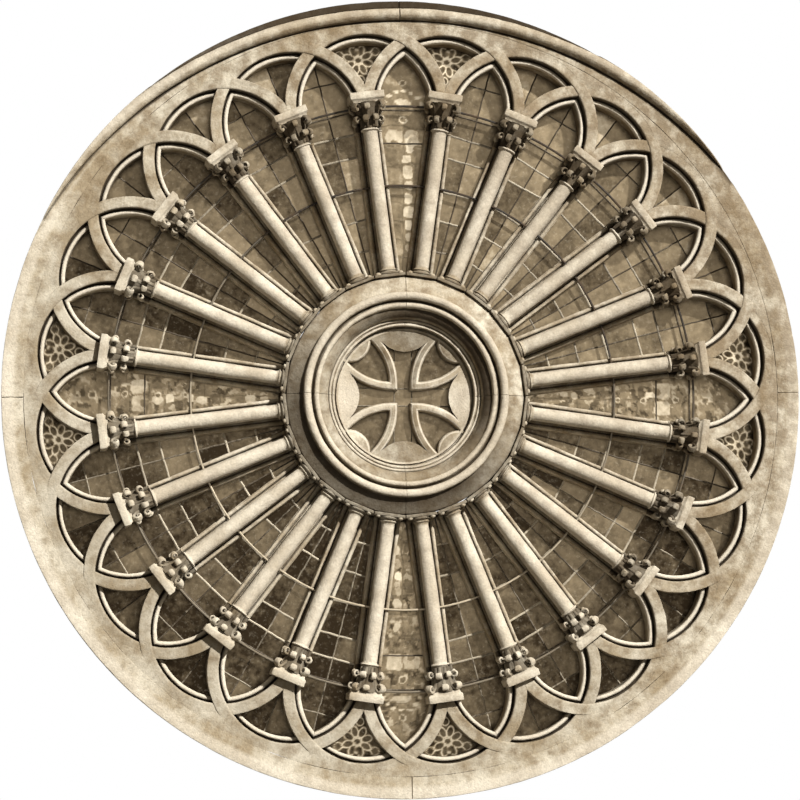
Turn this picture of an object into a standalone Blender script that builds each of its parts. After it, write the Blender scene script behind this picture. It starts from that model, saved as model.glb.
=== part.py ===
"""Rose window: a round wheel window of carved stone, glazed, with iron saddle bars.

The window stands upright in the XZ plane. Its front faces -Y and +Z is up.
The origin is on the bed, the flat underside of the rim's lowest facet, halfway
between the front and the back. Angles run clockwise from the top, as seen from
the front, and depths are measured back from the crest of the hub's outer roll.
"""
import bpy
import bmesh
from math import acos, asin, atan2, cos, radians, sin, sqrt, tan
from mathutils import Vector
from mathutils.geometry import delaunay_2d_cdt

# ---------------------------------------------------------------- driving sizes (metres)
BAYS = 24
BAY = radians(360 / BAYS)
RING_SIDES = 48                 # sides of every large ring; one side is centred below
FACET = radians(360 / RING_SIDES)
GAP = 0.0003                    # clearance between neighbouring pieces

RADIUS = 3.000                  # outer radius, to the middle of a side
DEPTH = 0.350                   # through the rim, front to back
CENTRE_Z = RADIUS

RIM_INNER = 2.836
RIM_PIECES = 4
RIM_JOINT = radians(-0.94)      # the joints lie a little before the cardinal points
RIM_FACE = 0.096
RIM_MARGIN = 0.110              # depth of the sunk margin outside the hood roll
ROLL_HALF = 0.049               # half the width of the hood roll
ROLL_FRONT = 0.047              # depth of its crest
ROLL_TOP = 2.895                # radius of the roll's axis at the top
ROLL_DROP = 0.295               # the roll is struck from a point below the centre
ROLL_LEFT = 0.027               # and a little to the left of it

SPRING_R = 2.222                # radius on which every arch has its centre
ARCH_OUT = 0.620                # arch radii: back of the bar, front of the bar, inner order
ARCH_IN = 0.534
ARCH_INNER_ORDER = 0.489
ARCADE_FRONT = 0.100
ARCADE_STEP = 0.200
ARCADE_BACK = 0.310

ABACUS_BOTTOM = 2.252
ABACUS_TOP = 2.305
ABACUS_HALF = 0.130
ABACUS_FRONT = 0.030

SHAFT_AXIS = 0.145              # depth of the shaft's axis
SHAFT_R_HUB = 0.049
SHAFT_R_RIM = 0.054
PLINTH_FRONT = 0.065
PLINTH_BOTTOM = 0.895
PLINTH_TOP = 0.917
BASE_R = 0.080
BASE_TOP = 0.962
NECK = 2.036

MULLION_HALF = 0.098
MULLION_FRONT = 0.220

HUB_OUTER = PLINTH_BOTTOM - GAP
HUB_INNER = 0.527
HUB_BACK = 0.300

CROSS_FRONT = 0.200
CROSS_BACK = 0.290

GLASS = 0.008                   # thickness of a leaded panel
LIGHT_GLASS = 0.295             # depth of the panels between the mullions
LIGHT_BOTTOM = (PLINTH_TOP + GAP) / cos(BAY / 2)
LIGHT_TOP = 2.200

IRON_FRONT = SHAFT_AXIS + SHAFT_R_RIM + 0.001
IRON_BACK = MULLION_FRONT - GAP
IRON_WIDTH = 0.022
IRON_RADII = (1.602, 2.211)

STONE = ("carved_stone", (0.62, 0.52, 0.38), 0.85, 0.0)
LEADED_GLASS = ("leaded_glass", (0.16, 0.12, 0.07), 0.25, 0.0)
IRON = ("wrought_iron", (0.05, 0.045, 0.04), 0.55, 0.8)


# ---------------------------------------------------------------- small helpers
def world_y(depth):
    return depth - DEPTH / 2


def polar(angle, radius):
    """Point (x, z) at a clockwise angle from the top, about the window's centre."""
    return Vector((radius * sin(angle), radius * cos(angle)))


def make_material(spec):
    name, colour, roughness, metallic = spec
    material = bpy.data.materials.new(name)
    material.use_nodes = True
    shader = material.node_tree.nodes["Principled BSDF"]
    shader.inputs["Base Color"].default_value = (*colour, 1.0)
    shader.inputs["Roughness"].default_value = roughness
    shader.inputs["Metallic"].default_value = metallic
    material.diffuse_color = (*colour, 1.0)
    return material


def add_object(name, mesh, spec, angle=0.0):
    """Places a mesh drawn about the window's centre, turned clockwise by angle."""
    obj = bpy.data.objects.new(name, mesh)
    bpy.context.scene.collection.objects.link(obj)
    obj.location = (0, 0, CENTRE_Z)
    obj.rotation_euler = (0, angle, 0)
    if not mesh.materials:
        mesh.materials.append(make_material(spec))
    return obj


def to_mesh(bm, name):
    bmesh.ops.remove_doubles(bm, verts=bm.verts, dist=1e-6)
    bmesh.ops.recalc_face_normals(bm, faces=bm.faces)
    mesh = bpy.data.meshes.new(name)
    bm.to_mesh(mesh)
    bm.free()
    return mesh


def ring_loop(bm, points, depth):
    return [bm.verts.new((p[0], world_y(depth), p[1])) for p in points]


def bridge(bm, loop_a, loop_b, closed=True):
    count = len(loop_a)
    for i in range(count if closed else count - 1):
        j = (i + 1) % count
        bm.faces.new((loop_a[i], loop_a[j], loop_b[j], loop_b[i]))


def prism(outline, front, back, name):
    """A plate with the given outline of (x, z) points, from depth front to back."""
    bm = bmesh.new()
    first = ring_loop(bm, outline, front)
    last = ring_loop(bm, outline, back)
    bridge(bm, first, last)
    bm.faces.new(first)
    bm.faces.new(last)
    return to_mesh(bm, name)


def turned_ring(profile_at, sides, name, start=None, end=None):
    """Sweeps the closed (radius, depth) profile at each angle round the centre; the radii
    are to the middle of a side. With start and end it is a part, cut at both angles."""
    facet = radians(360 / sides)
    corners = [(i + 0.5) * facet for i in range(-sides, 2 * sides)]
    if start is None:
        stations = [(a, 0.0) for a in corners[:sides]]
    else:
        inside = [a for a in corners if start + 1e-6 < a < end - 1e-6]
        stations = [(start, GAP / 2)] + [(a, 0.0) for a in inside] + [(end, -GAP / 2)]
    bm = bmesh.new()
    sections = []
    for angle, shift in stations:
        off_middle = (angle + facet / 2) % facet - facet / 2
        stretch = 1 / cos(off_middle)
        side = polar(angle + radians(90), shift)
        sections.append([])
        for r, depth in profile_at(angle):
            x, z = polar(angle, r * stretch) + side
            sections[-1].append(bm.verts.new((x, world_y(depth), z)))
    for a, b in zip(sections, sections[1:] + sections[:1]):
        if start is None or b is not sections[0]:
            bridge(bm, a, b)
    if start is not None:
        bm.faces.new(sections[0])
        bm.faces.new(sections[-1])
    return to_mesh(bm, name)


# ---------------------------------------------------------------- rim
def roll_axis(angle):
    """Radius of the hood roll's axis, which runs off the rim on both sides of the top."""
    return ROLL_TOP + ROLL_DROP * (1 - cos(angle)) + ROLL_LEFT * sin(angle)


def rim_profile(angle):
    """Outside, sunk margin, hood roll, flat face, inside, with what passes the outside cut."""
    axis = roll_axis(angle)
    front = [
        (axis + RADIUS, RIM_MARGIN),
        (axis + ROLL_HALF + 0.006, RIM_MARGIN),
        (axis + ROLL_HALF, RIM_FACE),
        (axis + 0.7 * ROLL_HALF, ROLL_FRONT + 0.014),
        (axis, ROLL_FRONT),
        (axis - 0.7 * ROLL_HALF, ROLL_FRONT + 0.014),
        (axis - ROLL_HALF, RIM_FACE),
        (RIM_INNER, RIM_FACE),
    ]
    past = max(i for i, (r, _) in enumerate(front) if r >= RADIUS)
    (r0, d0), (r1, d1) = front[past:past + 2]
    edge = d0 + (d1 - d0) * (r0 - RADIUS) / (r0 - r1)
    kept = [(RADIUS, edge)] * (past + 1) + front[past + 1:]
    return [(RADIUS, DEPTH)] + kept + [(RIM_INNER, DEPTH)]


def build_rim():
    span = radians(360 / RIM_PIECES)
    for i in range(RIM_PIECES):
        start = i * span + RIM_JOINT
        name = f"rim_quadrant_{i + 1}"
        mesh = turned_ring(rim_profile, RING_SIDES, name, start, start + span)
        add_object(name, mesh, STONE)


# ---------------------------------------------------------------- interlaced arcade
def arch_point(column, radius, turn):
    """On the arch centred over a column, turn clockwise from its own crown."""
    return polar(column, SPRING_R) + polar(column + turn, radius)


def turn_at_axis(radius, away):
    """Turn at which an arch of this radius crosses the axis that lies `away` before it."""
    return -asin(SPRING_R * sin(away) / radius) - away


def turn_at_springer(radius):
    """Turn at which an arch comes down on the abacus of the column before it."""
    rise = ABACUS_TOP + GAP - SPRING_R * cos(BAY)
    return -BAY - acos(rise / radius)


def turn_at_meeting(radius, other_radius):
    """Turn of an arch, on its far side, where the next arch's other_radius cuts it."""
    apart = 2 * SPRING_R * sin(BAY / 2)
    along = (radius ** 2 - other_radius ** 2 + apart ** 2) / (2 * apart)
    lift = sqrt(radius ** 2 - along ** 2)
    return atan2(along, lift) + BAY / 2


def spread(first, last, steps):
    return [first + (last - first) * i / steps for i in range(steps + 1)]


def light_outline(radius, left_column, steps=3):
    """The head of the light between two columns, from abacus to abacus."""
    right_column = left_column + BAY
    rise = spread(turn_at_springer(radius), turn_at_axis(radius, BAY / 2), steps)
    left = [arch_point(right_column, radius, t) for t in rise]
    right = [arch_point(left_column, radius, -t) for t in rise]
    return left + right[-2::-1]


def spandrel_outline(radius, column, steps=3):
    """Over one column: up its right side, over the crown, and down its left side."""
    next_column = column + BAY
    bottom = turn_at_axis(ARCH_OUT, BAY)
    inner_tip = -turn_at_meeting(ARCH_OUT, ARCH_INNER_ORDER)
    tip = -turn_at_meeting(ARCH_OUT, radius)
    crown = turn_at_meeting(radius, ARCH_OUT)
    side = [bottom, (bottom + inner_tip) / 2, inner_tip, tip]
    right = [arch_point(next_column, ARCH_OUT, t) for t in side]
    left = [arch_point(column - BAY, ARCH_OUT, -t) for t in side]
    top = [arch_point(column, radius, t) for t in spread(crown, -crown, steps)]
    return right + top[1:-1] + left[:0:-1]


def crossings(point, loops):
    """How many sides of the loops a line from the point to the right meets."""
    count = 0
    for loop in loops:
        for a, b in zip(loop, loop[1:] + loop[:1]):
            if (a[1] > point[1]) != (b[1] > point[1]):
                meets = a[0] + (point[1] - a[1]) * (b[0] - a[0]) / (b[1] - a[1])
                count += meets > point[0]
    return count


class PlateBuilder:
    """Collects faces of a stepped plate whose loops share their corners."""

    def __init__(self):
        self.bm = bmesh.new()
        self.verts = {}

    def vert(self, point, depth):
        key = (round(point[0], 6), round(point[1], 6), round(depth, 6))
        if key not in self.verts:
            self.verts[key] = self.bm.verts.new((point[0], world_y(depth), point[1]))
        return self.verts[key]

    def face(self, corners):
        distinct = [v for i, v in enumerate(corners) if v is not corners[i - 1]]
        if len(distinct) > 2:
            self.bm.faces.new(distinct)

    def strip(self, points_a, depth_a, points_b, depth_b, closed):
        count = len(points_a)
        for i in range(count if closed else count - 1):
            j = (i + 1) % count
            self.face((self.vert(points_a[i], depth_a), self.vert(points_a[j], depth_a),
                       self.vert(points_b[j], depth_b), self.vert(points_b[i], depth_b)))

    def fill(self, loops, depth):
        """Closes the face bounded by the first loop, leaving the others open."""
        points, sides = [], []
        for loop in loops:
            distinct = [p for i, p in enumerate(loop) if (p - loop[i - 1]).length > 1e-6]
            first, count = len(points), len(distinct)
            points += distinct
            sides += [(first + i, first + (i + 1) % count) for i in range(count)]
        corners, _, triangles, _, _, _ = delaunay_2d_cdt(points, sides, [], 1, 1e-7)
        for triangle in triangles:
            middle = sum((corners[i] for i in triangle), Vector((0, 0))) / 3
            if crossings(middle, loops) % 2:
                self.face([self.vert(corners[i], depth) for i in triangle])


def build_arcade():
    plate = PlateBuilder()
    columns = [(i + 0.5) * BAY for i in range(BAYS)]
    rim_side = [polar((i + 0.5) * FACET, (RIM_INNER - GAP) / cos(FACET / 2))
                for i in range(RING_SIDES)]
    front_loops, back_loops = [rim_side], [rim_side]
    front_edge, back_edge = [], []
    for column in columns:
        front_light = light_outline(ARCH_IN, column)
        back_light = light_outline(ARCH_INNER_ORDER, column)
        plate.strip(front_light, ARCADE_FRONT, front_light, ARCADE_STEP, False)
        plate.strip(front_light, ARCADE_STEP, back_light, ARCADE_STEP, False)
        plate.strip(back_light, ARCADE_STEP, back_light, ARCADE_BACK, False)
        front_edge += front_light
        back_edge += back_light
        front_hole = spandrel_outline(ARCH_IN, column)
        back_hole = spandrel_outline(ARCH_INNER_ORDER, column)
        plate.strip(front_hole, ARCADE_FRONT, front_hole, ARCADE_STEP, True)
        plate.strip(front_hole, ARCADE_STEP, back_hole, ARCADE_STEP, True)
        plate.strip(back_hole, ARCADE_STEP, back_hole, ARCADE_BACK, True)
        front_loops.append(front_hole)
        back_loops.append(back_hole)
    for column in columns:
        springer_underside(plate, column)
    plate.strip(rim_side, ARCADE_FRONT, rim_side, ARCADE_BACK, True)
    plate.fill(front_loops + [front_edge], ARCADE_FRONT)
    plate.fill(back_loops + [back_edge], ARCADE_BACK)
    add_object("interlaced_arcade", to_mesh(plate.bm, "interlaced_arcade"), STONE)


def springer_underside(plate, column):
    """The flat bed on which the springer of two arches stands on its abacus."""
    def pair(radius):
        before = light_outline(radius, column - BAY)[-1]
        after = light_outline(radius, column)[0]
        return before, after
    front_left, front_right = pair(ARCH_IN)
    back_left, back_right = pair(ARCH_INNER_ORDER)
    plate.face([plate.vert(front_left, ARCADE_FRONT), plate.vert(front_right, ARCADE_FRONT),
                plate.vert(front_right, ARCADE_STEP), plate.vert(front_left, ARCADE_STEP)])
    plate.face([plate.vert(back_left, ARCADE_STEP), plate.vert(front_left, ARCADE_STEP),
                plate.vert(front_right, ARCADE_STEP), plate.vert(back_right, ARCADE_STEP),
                plate.vert(back_right, ARCADE_BACK), plate.vert(back_left, ARCADE_BACK)])


# ---------------------------------------------------------------- colonnettes
def box_mesh(half_width, front, back, bottom, top, name):
    outline = [(-half_width, bottom), (half_width, bottom), (half_width, top), (-half_width, top)]
    return prism(outline, front, back, name)


def shaft_mesh():
    """Base, shaft, necking and bell, faceted and flat behind. In the bell the two radii
    of a ring differ: the leaves stand out on its faces, and the volutes at its corners."""
    lip = ABACUS_BOTTOM + 0.006
    rings = [
        (PLINTH_BOTTOM + 0.010, BASE_R, BASE_R),
        (PLINTH_TOP + 0.018, BASE_R, BASE_R),
        (BASE_TOP, SHAFT_R_HUB, SHAFT_R_HUB),
        (NECK - 0.018, SHAFT_R_RIM, SHAFT_R_RIM),
        (NECK, 0.070, 0.070),
        (NECK + 0.135, 0.094, 0.074),
        (lip, 0.080, 0.148),
    ]
    deepest = world_y(SHAFT_AXIS + SHAFT_R_RIM)
    bm = bmesh.new()
    loops = []
    for along, face_r, corner_r in rings:
        loop = []
        for eighth in (0, 1, 3, 4, 5, 6, 7):
            r = corner_r if eighth % 2 else face_r
            turn = radians(45 * eighth)
            y = min(world_y(SHAFT_AXIS) + r * sin(turn), deepest)
            loop.append(bm.verts.new((r * cos(turn), y, along)))
        loops.append(loop)
    for a, b in zip(loops, loops[1:]):
        bridge(bm, a, b)
    bm.faces.new(loops[0])
    bm.faces.new(loops[-1])
    return to_mesh(bm, "shaft")


def union_mesh(meshes, name):
    """One closed solid made of several that run into each other."""
    parts = []
    for mesh in meshes:
        part = bpy.data.objects.new(mesh.name, mesh)
        bpy.context.scene.collection.objects.link(part)
        parts.append(part)
    base = parts[0]
    for part in parts[1:]:
        cut = base.modifiers.new("join", "BOOLEAN")
        cut.operation = "UNION"
        cut.solver = "EXACT"
        cut.object = part
    evaluated = base.evaluated_get(bpy.context.evaluated_depsgraph_get())
    joined = bpy.data.meshes.new_from_object(evaluated)
    joined.name = name
    for part in parts:
        bpy.data.objects.remove(part)
    bm = bmesh.new()
    bm.from_mesh(joined)
    bmesh.ops.dissolve_limit(bm, angle_limit=radians(0.5), verts=bm.verts, edges=bm.edges)
    bmesh.ops.triangulate(bm, faces=bm.faces)
    bm.to_mesh(joined)
    bm.free()
    return joined


def build_colonnettes():
    foot, head = (along * tan(BAY / 2) - GAP for along in (PLINTH_BOTTOM, PLINTH_TOP))
    plinth = prism([(-foot, PLINTH_BOTTOM), (foot, PLINTH_BOTTOM),
                    (head, PLINTH_TOP), (-head, PLINTH_TOP)],
                   PLINTH_FRONT, ARCADE_BACK, "plinth")
    mullion = box_mesh(MULLION_HALF, MULLION_FRONT, ARCADE_BACK,
                       PLINTH_BOTTOM, ABACUS_TOP, "mullion")
    abacus = box_mesh(ABACUS_HALF, ABACUS_FRONT, ARCADE_BACK,
                      ABACUS_BOTTOM, ABACUS_TOP, "abacus")
    mesh = union_mesh([plinth, shaft_mesh(), mullion, abacus], "colonnette")
    for i in range(BAYS):
        add_object(f"colonnette_{i + 1:02d}", mesh, STONE, (i + 0.5) * BAY)


# ---------------------------------------------------------------- hub
def hub_profile():
    """Outside, sloped band, outer roll, quirk, inner roll, hollow, fillet, inside."""
    return [
        (HUB_OUTER, HUB_BACK),
        (HUB_OUTER, 0.080),
        (0.772, 0.040),
        (0.757, 0.0),
        (0.726, 0.0),
        (0.706, 0.052),
        (0.670, 0.028),
        (0.640, 0.072),
        (0.572, 0.148),
        (HUB_INNER, 0.160),
        (HUB_INNER, HUB_BACK),
    ]


def build_hub():
    add_object("hub_ring", turned_ring(lambda _: hub_profile(), RING_SIDES, "hub_ring"), STONE)


# ---------------------------------------------------------------- cross in the hub
# Eight bars bow in towards the axes of the arms. Each is part of a ring whose centre
# lies across and along from the middle, on the far side of its diagonal.
BAR_ACROSS = 0.558
BAR_ALONG = 0.092
BAR_OUT = 0.513                 # radius of the side towards the arm
BAR_WIDTH = 0.068
ARM_LENGTH = 0.418              # to the corners of an arm, along its axis
ARM_END = 0.346                 # to the lens that closes it, on its axis
EYE_LENGTH = 0.412              # to the corners of a diagonal eye, along the arm's axis
EYE_END = 0.421                 # to the lens that closes it, on the diagonal


def side_turn(radius, along):
    return asin((along - BAR_ALONG) / radius)


def side_foot(radius):
    """Where the sides of two neighbouring arms meet, on their diagonal."""
    total = BAR_ACROSS + BAR_ALONG
    rest = BAR_ACROSS ** 2 + BAR_ALONG ** 2 - radius ** 2
    return (total - sqrt(total ** 2 - 2 * rest)) / 2


def bar_side(axis, hand, radius, length, steps):
    """From the foot to the corner, on the clockwise (1) or other (-1) side of an axis."""
    points = []
    first = side_turn(radius, side_foot(radius))
    for turn in spread(first, side_turn(radius, length), steps):
        across = BAR_ACROSS - radius * cos(turn)
        along = BAR_ALONG + radius * sin(turn)
        points.append(polar(axis, along) + polar(axis + hand * radians(90), across))
    return points


def lens_arc(axis, tip, corner, steps):
    """An arc that bulges towards the centre and ends at a corner, on the clockwise side
    of an axis, from the mirror image of that corner."""
    along = corner.dot(polar(axis, 1))
    across = corner.dot(polar(axis + radians(90), 1))
    centre = (along ** 2 + across ** 2 - tip ** 2) / (2 * (along - tip))
    radius = centre - tip
    half = asin(across / radius)
    return [polar(axis, centre) - polar(axis + t, radius) for t in spread(half, -half, steps)]


def cross_opening():
    """The cross pattee, whose arms are open to each other at the middle."""
    outline = []
    for arm in range(4):
        axis = radians(90 * arm)
        left = bar_side(axis, -1, BAR_OUT, ARM_LENGTH, 3)
        right = bar_side(axis, 1, BAR_OUT, ARM_LENGTH, 3)
        end = lens_arc(axis, ARM_END, right[-1], 4)
        outline += left + end[1:-1] + right[:0:-1]
    return outline


def diagonal_eye(axis):
    """The small opening behind two bars, on a diagonal."""
    inner = BAR_OUT - BAR_WIDTH
    before = bar_side(axis - radians(45), 1, inner, EYE_LENGTH, 2)
    after = bar_side(axis + radians(45), -1, inner, EYE_LENGTH, 2)
    end = lens_arc(axis, EYE_END, after[-1], 2)
    return before + end[1:-1] + after[:0:-1]


def build_cross():
    plate = PlateBuilder()
    edge = [polar((i + 0.5) * FACET, (HUB_INNER - GAP) / cos(FACET / 2))
            for i in range(RING_SIDES)]
    loops = [edge, cross_opening()]
    loops += [diagonal_eye(radians(45 + 90 * i)) for i in range(4)]
    for loop in loops:
        plate.strip(loop, CROSS_FRONT, loop, CROSS_BACK, True)
    plate.fill(loops, CROSS_FRONT)
    plate.fill(loops, CROSS_BACK)
    add_object("cross_tracery", to_mesh(plate.bm, "cross_tracery"), STONE)


# ---------------------------------------------------------------- glass and iron
def build_light_glazing():
    outline = []
    for along, side in ((LIGHT_BOTTOM, -1), (LIGHT_BOTTOM, 1), (LIGHT_TOP, 1), (LIGHT_TOP, -1)):
        flank = (along * sin(BAY / 2) - MULLION_HALF) / cos(BAY / 2) - GAP
        outline.append((side * flank, along))
    mesh = prism(outline, LIGHT_GLASS, LIGHT_GLASS + GLASS, "light_glazing")
    for i in range(BAYS):
        add_object(f"light_glazing_{i + 1:02d}", mesh, LEADED_GLASS, i * BAY)


def build_outer_glazing():
    front = ARCADE_BACK + GAP
    inner, outer = LIGHT_TOP - 0.010, RIM_INNER - 0.040
    profile = [(outer, front + GLASS), (outer, front), (inner, front), (inner, front + GLASS)]
    add_object("outer_glazing", turned_ring(lambda _: profile, BAYS, "outer_glazing"), LEADED_GLASS)


def build_hub_glazing():
    front = CROSS_BACK + GAP
    sides = 12
    radius = HUB_INNER - 0.002
    outline = [polar(radians(360 * i / sides), radius) for i in range(sides)]
    add_object("hub_glazing", prism(outline, front, front + GLASS, "hub_glazing"), LEADED_GLASS)


def build_saddle_irons():
    for name, radius in zip(("saddle_iron_inner", "saddle_iron_outer"), IRON_RADII):
        inner, outer = radius - IRON_WIDTH / 2, radius + IRON_WIDTH / 2
        profile = [(outer, IRON_BACK), (outer, IRON_FRONT),
                   (inner, IRON_FRONT), (inner, IRON_BACK)]
        add_object(name, turned_ring(lambda _: profile, BAYS, name), IRON)


def main():
    for obj in list(bpy.data.objects):
        bpy.data.objects.remove(obj)
    build_rim()
    build_arcade()
    build_colonnettes()
    build_hub()
    build_cross()
    build_light_glazing()
    build_outer_glazing()
    build_hub_glazing()
    build_saddle_irons()


main()
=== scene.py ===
"""Looks of a rose window: carved stone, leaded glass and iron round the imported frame.

Angles run clockwise from the top as seen from the front. Radii are measured from the
window's centre, and depths from the foremost plane of the solids towards the back.
"""
import random
from math import asin, atan2, cos, pi, radians, sin, sqrt, tan

import bmesh
import bpy
import numpy as np
from mathutils import Matrix, Vector, noise
from mathutils.geometry import delaunay_2d_cdt

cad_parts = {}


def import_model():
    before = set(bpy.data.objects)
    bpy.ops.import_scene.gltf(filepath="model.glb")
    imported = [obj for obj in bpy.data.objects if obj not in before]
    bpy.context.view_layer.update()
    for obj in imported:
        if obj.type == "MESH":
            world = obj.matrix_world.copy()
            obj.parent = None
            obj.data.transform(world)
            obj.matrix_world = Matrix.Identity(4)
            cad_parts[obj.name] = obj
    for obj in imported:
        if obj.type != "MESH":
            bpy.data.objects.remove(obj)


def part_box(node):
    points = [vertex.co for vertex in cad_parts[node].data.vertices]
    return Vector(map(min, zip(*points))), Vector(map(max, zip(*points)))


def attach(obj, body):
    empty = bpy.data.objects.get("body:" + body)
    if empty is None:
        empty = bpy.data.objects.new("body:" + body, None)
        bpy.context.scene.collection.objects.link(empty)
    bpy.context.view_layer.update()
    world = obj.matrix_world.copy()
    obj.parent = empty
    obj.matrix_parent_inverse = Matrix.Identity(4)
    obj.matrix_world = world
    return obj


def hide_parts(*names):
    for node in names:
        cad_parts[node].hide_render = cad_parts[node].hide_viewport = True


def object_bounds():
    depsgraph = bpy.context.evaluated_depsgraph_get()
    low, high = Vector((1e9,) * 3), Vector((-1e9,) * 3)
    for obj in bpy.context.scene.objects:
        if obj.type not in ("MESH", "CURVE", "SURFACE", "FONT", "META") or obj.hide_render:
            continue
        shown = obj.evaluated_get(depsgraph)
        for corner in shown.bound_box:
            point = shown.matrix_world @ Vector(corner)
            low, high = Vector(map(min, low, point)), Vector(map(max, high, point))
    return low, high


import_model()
cad_low, cad_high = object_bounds()

# ---------------------------------------------------------------- sizes read from the frame
RADIUS = (cad_high.x - cad_low.x) / 2
CENTRE_Z = (cad_high.z + cad_low.z) / 2
FRONT_Y = cad_low.y
DEPTH = cad_high.y - cad_low.y


def reach(node):
    """(radius, front depth, back depth) of a node that lies round the centre."""
    low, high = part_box(node)
    return (high.x - low.x) / 2, low.y - FRONT_Y, high.y - FRONT_Y


ARCADE_RIM, ARCADE_FRONT, ARCADE_BACK = reach("interlaced_arcade")
HUB_OUTER, _, HUB_BACK = reach("hub_ring")
CROSS_EDGE, CROSS_FRONT, CROSS_BACK = reach("cross_tracery")
HUB_GLASS_R, *HUB_GLASS = reach("hub_glazing")          # and its front and back depth
_, *OUTER_GLASS = reach("outer_glazing")
light_low, light_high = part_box("light_glazing_01")
LIGHT_GLASS = (light_low.y - FRONT_Y, light_high.y - FRONT_Y)
LIGHT_BOTTOM, LIGHT_TOP = light_low.z - CENTRE_Z, light_high.z - CENTRE_Z
ABACUS_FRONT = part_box("colonnette_01")[0].y - FRONT_Y

# ---------------------------------------------------------------- sizes shared with the solids (metres)
BAYS = 24
BAY = radians(360 / BAYS)
GAP = 0.0003                    # clearance at each joint between solids
RIM_PIECES = 4
RIM_JOINT = radians(-0.94)      # angle of the first joint
RIM_INNER = 2.836
RIM_FACE = 0.096                # depth of the flat face inside the roll
RIM_MARGIN = 0.110              # depth of the sunk margin outside the hood roll
ROLL_HALF = 0.049               # half the width of the hood roll
ROLL_ROUND = ROLL_HALF - 0.003  # and of its round part
ROLL_FRONT = 0.047              # depth of its crest
ROLL_TOP = 2.895                # radius of the roll's axis at the top
ROLL_DROP = 0.295               # the roll is struck from a point below the centre
ROLL_LEFT = 0.027               # and a little to the left of it

SPRING_R = 2.222                # radius on which every arch has its centre
ARCH_OUT = 0.620                # arch radii: back of the bar, its arris, inside of the roll
ARCH_IN = 0.534
ARCH_ROLL_IN = 0.488
ARCH_MIDDLE = (ARCH_IN + ARCH_OUT) / 2
ABACUS_TOP = 2.305
ABACUS_HALF = 0.130
ABACUS_LIP = 2.226              # where its hollow lower edge starts

SHAFT_AXIS = 0.145              # depth of the shafts' axes
SHAFT_R_HUB = 0.049
SHAFT_R_RIM = 0.054
PLINTH_FRONT = 0.065
PLINTH_BOTTOM = 0.895
PLINTH_TOP = 0.917
BASE_R = 0.080
NECK = 2.036                    # where shaft and bell meet
MULLION_HALF = 0.098
MULLION_FRONT = 0.220
MULLION_ROLL = 0.0145           # radius of the rolls on its corners

HUB_INNER = 0.527
IRON_WIDTH = 0.022
PANE_INSET = 0.0022             # how far a pane lies inside the panel's faces
PANE_GAP = 0.002                # from a pane's edge to the middle of its lead
WALL_WEAR = ((0.0035, 2.5, 1), (0.0016, 14.0, 11))      # noise layers of rim and arcade

LEADS = (1.143, 1.376, 1.602, 1.857, 2.030)             # along the axis of a light
HEAD_LEAD = 2.451                                       # and of its head
CAME = 0.0065                                           # half the width of a lead along a light
CROSS_CAME = 0.0090                                     # and of the crusted ones across
PAINTED = (0, 6, 12, 18)                                # lights with painted glass
ROSETTES = (23, 0, 5, 6, 11, 12, 17, 18)                # columns under a rosette


def world(across, depth, along):
    """Points in the scene, from sizes about the window's centre that may be arrays."""
    across, depth, along = np.broadcast_arrays(across, depth, along)
    return np.stack((across, FRONT_Y + depth, CENTRE_Z + along), axis=-1).astype(float)


def turned(points, angle):
    """Points turned clockwise about the window's axis."""
    c, s = cos(angle), sin(angle)
    x, z = points[..., 0], points[..., 2] - CENTRE_Z
    out = points.copy()
    out[..., 0] = x * c + z * s
    out[..., 2] = z * c - x * s + CENTRE_Z
    return out


# ---------------------------------------------------------------- mesh building
class Shell:
    """Gathers grids of points into one mesh, with a material slot and a tone for each."""

    def __init__(self):
        self.points, self.faces, self.slots, self.tones, self.count = [], [], [], [], 0

    def grid(self, points, round_u=False, round_v=False, slot=0, tone=0.5, caps=False):
        rows, cols = points.shape[:2]
        index = self.count + np.arange(rows * cols).reshape(rows, cols)
        if round_u:
            index = np.vstack((index, index[:1]))
        if round_v:
            index = np.hstack((index, index[:, :1]))
        quads = np.stack((index[:-1, :-1], index[:-1, 1:], index[1:, 1:], index[1:, :-1]), -1)
        self.faces += quads.reshape(-1, 4).tolist()
        if caps:
            self.faces += [index[0, :cols].tolist(), index[-1, :cols].tolist()]
        self.slots += [slot] * (len(self.faces) - len(self.slots))
        self.points.append(points.reshape(-1, 3))
        self.tones.append(np.broadcast_to(tone, (rows, cols)).ravel())
        self.count += rows * cols

    def tube(self, points, tone=0.5, slot=0):
        """A grid that closes on itself along its rows and is capped at both ends."""
        self.grid(points, round_v=True, slot=slot, tone=tone, caps=True)

    def mesh(self, name, merge=0.0):
        """The mesh of all grids, with near points merged and every face turned outwards."""
        mesh = bpy.data.meshes.new(name)
        mesh.from_pydata(np.concatenate(self.points).tolist(), [], self.faces)
        mesh.attributes.new("tone", "FLOAT", "POINT").data.foreach_set(
            "value", np.concatenate(self.tones).astype(np.float32))
        mesh.polygons.foreach_set("material_index", self.slots)
        bm = bmesh.new()
        bm.from_mesh(mesh)
        if merge:
            bmesh.ops.remove_doubles(bm, verts=bm.verts, dist=merge)
            bmesh.ops.dissolve_degenerate(bm, edges=bm.edges, dist=merge / 4)
        bmesh.ops.recalc_face_normals(bm, faces=bm.faces)
        bm.to_mesh(mesh)
        bm.free()
        return mesh


def arc(centre_r, centre_d, radius, start, end, steps):
    """Profile points on an arc; 0 degrees points away from the centre and 90 to the front."""
    turns = np.radians(np.linspace(start, end, steps + 1))
    return [(centre_r + radius * cos(t), centre_d - radius * sin(t)) for t in turns]


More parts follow.
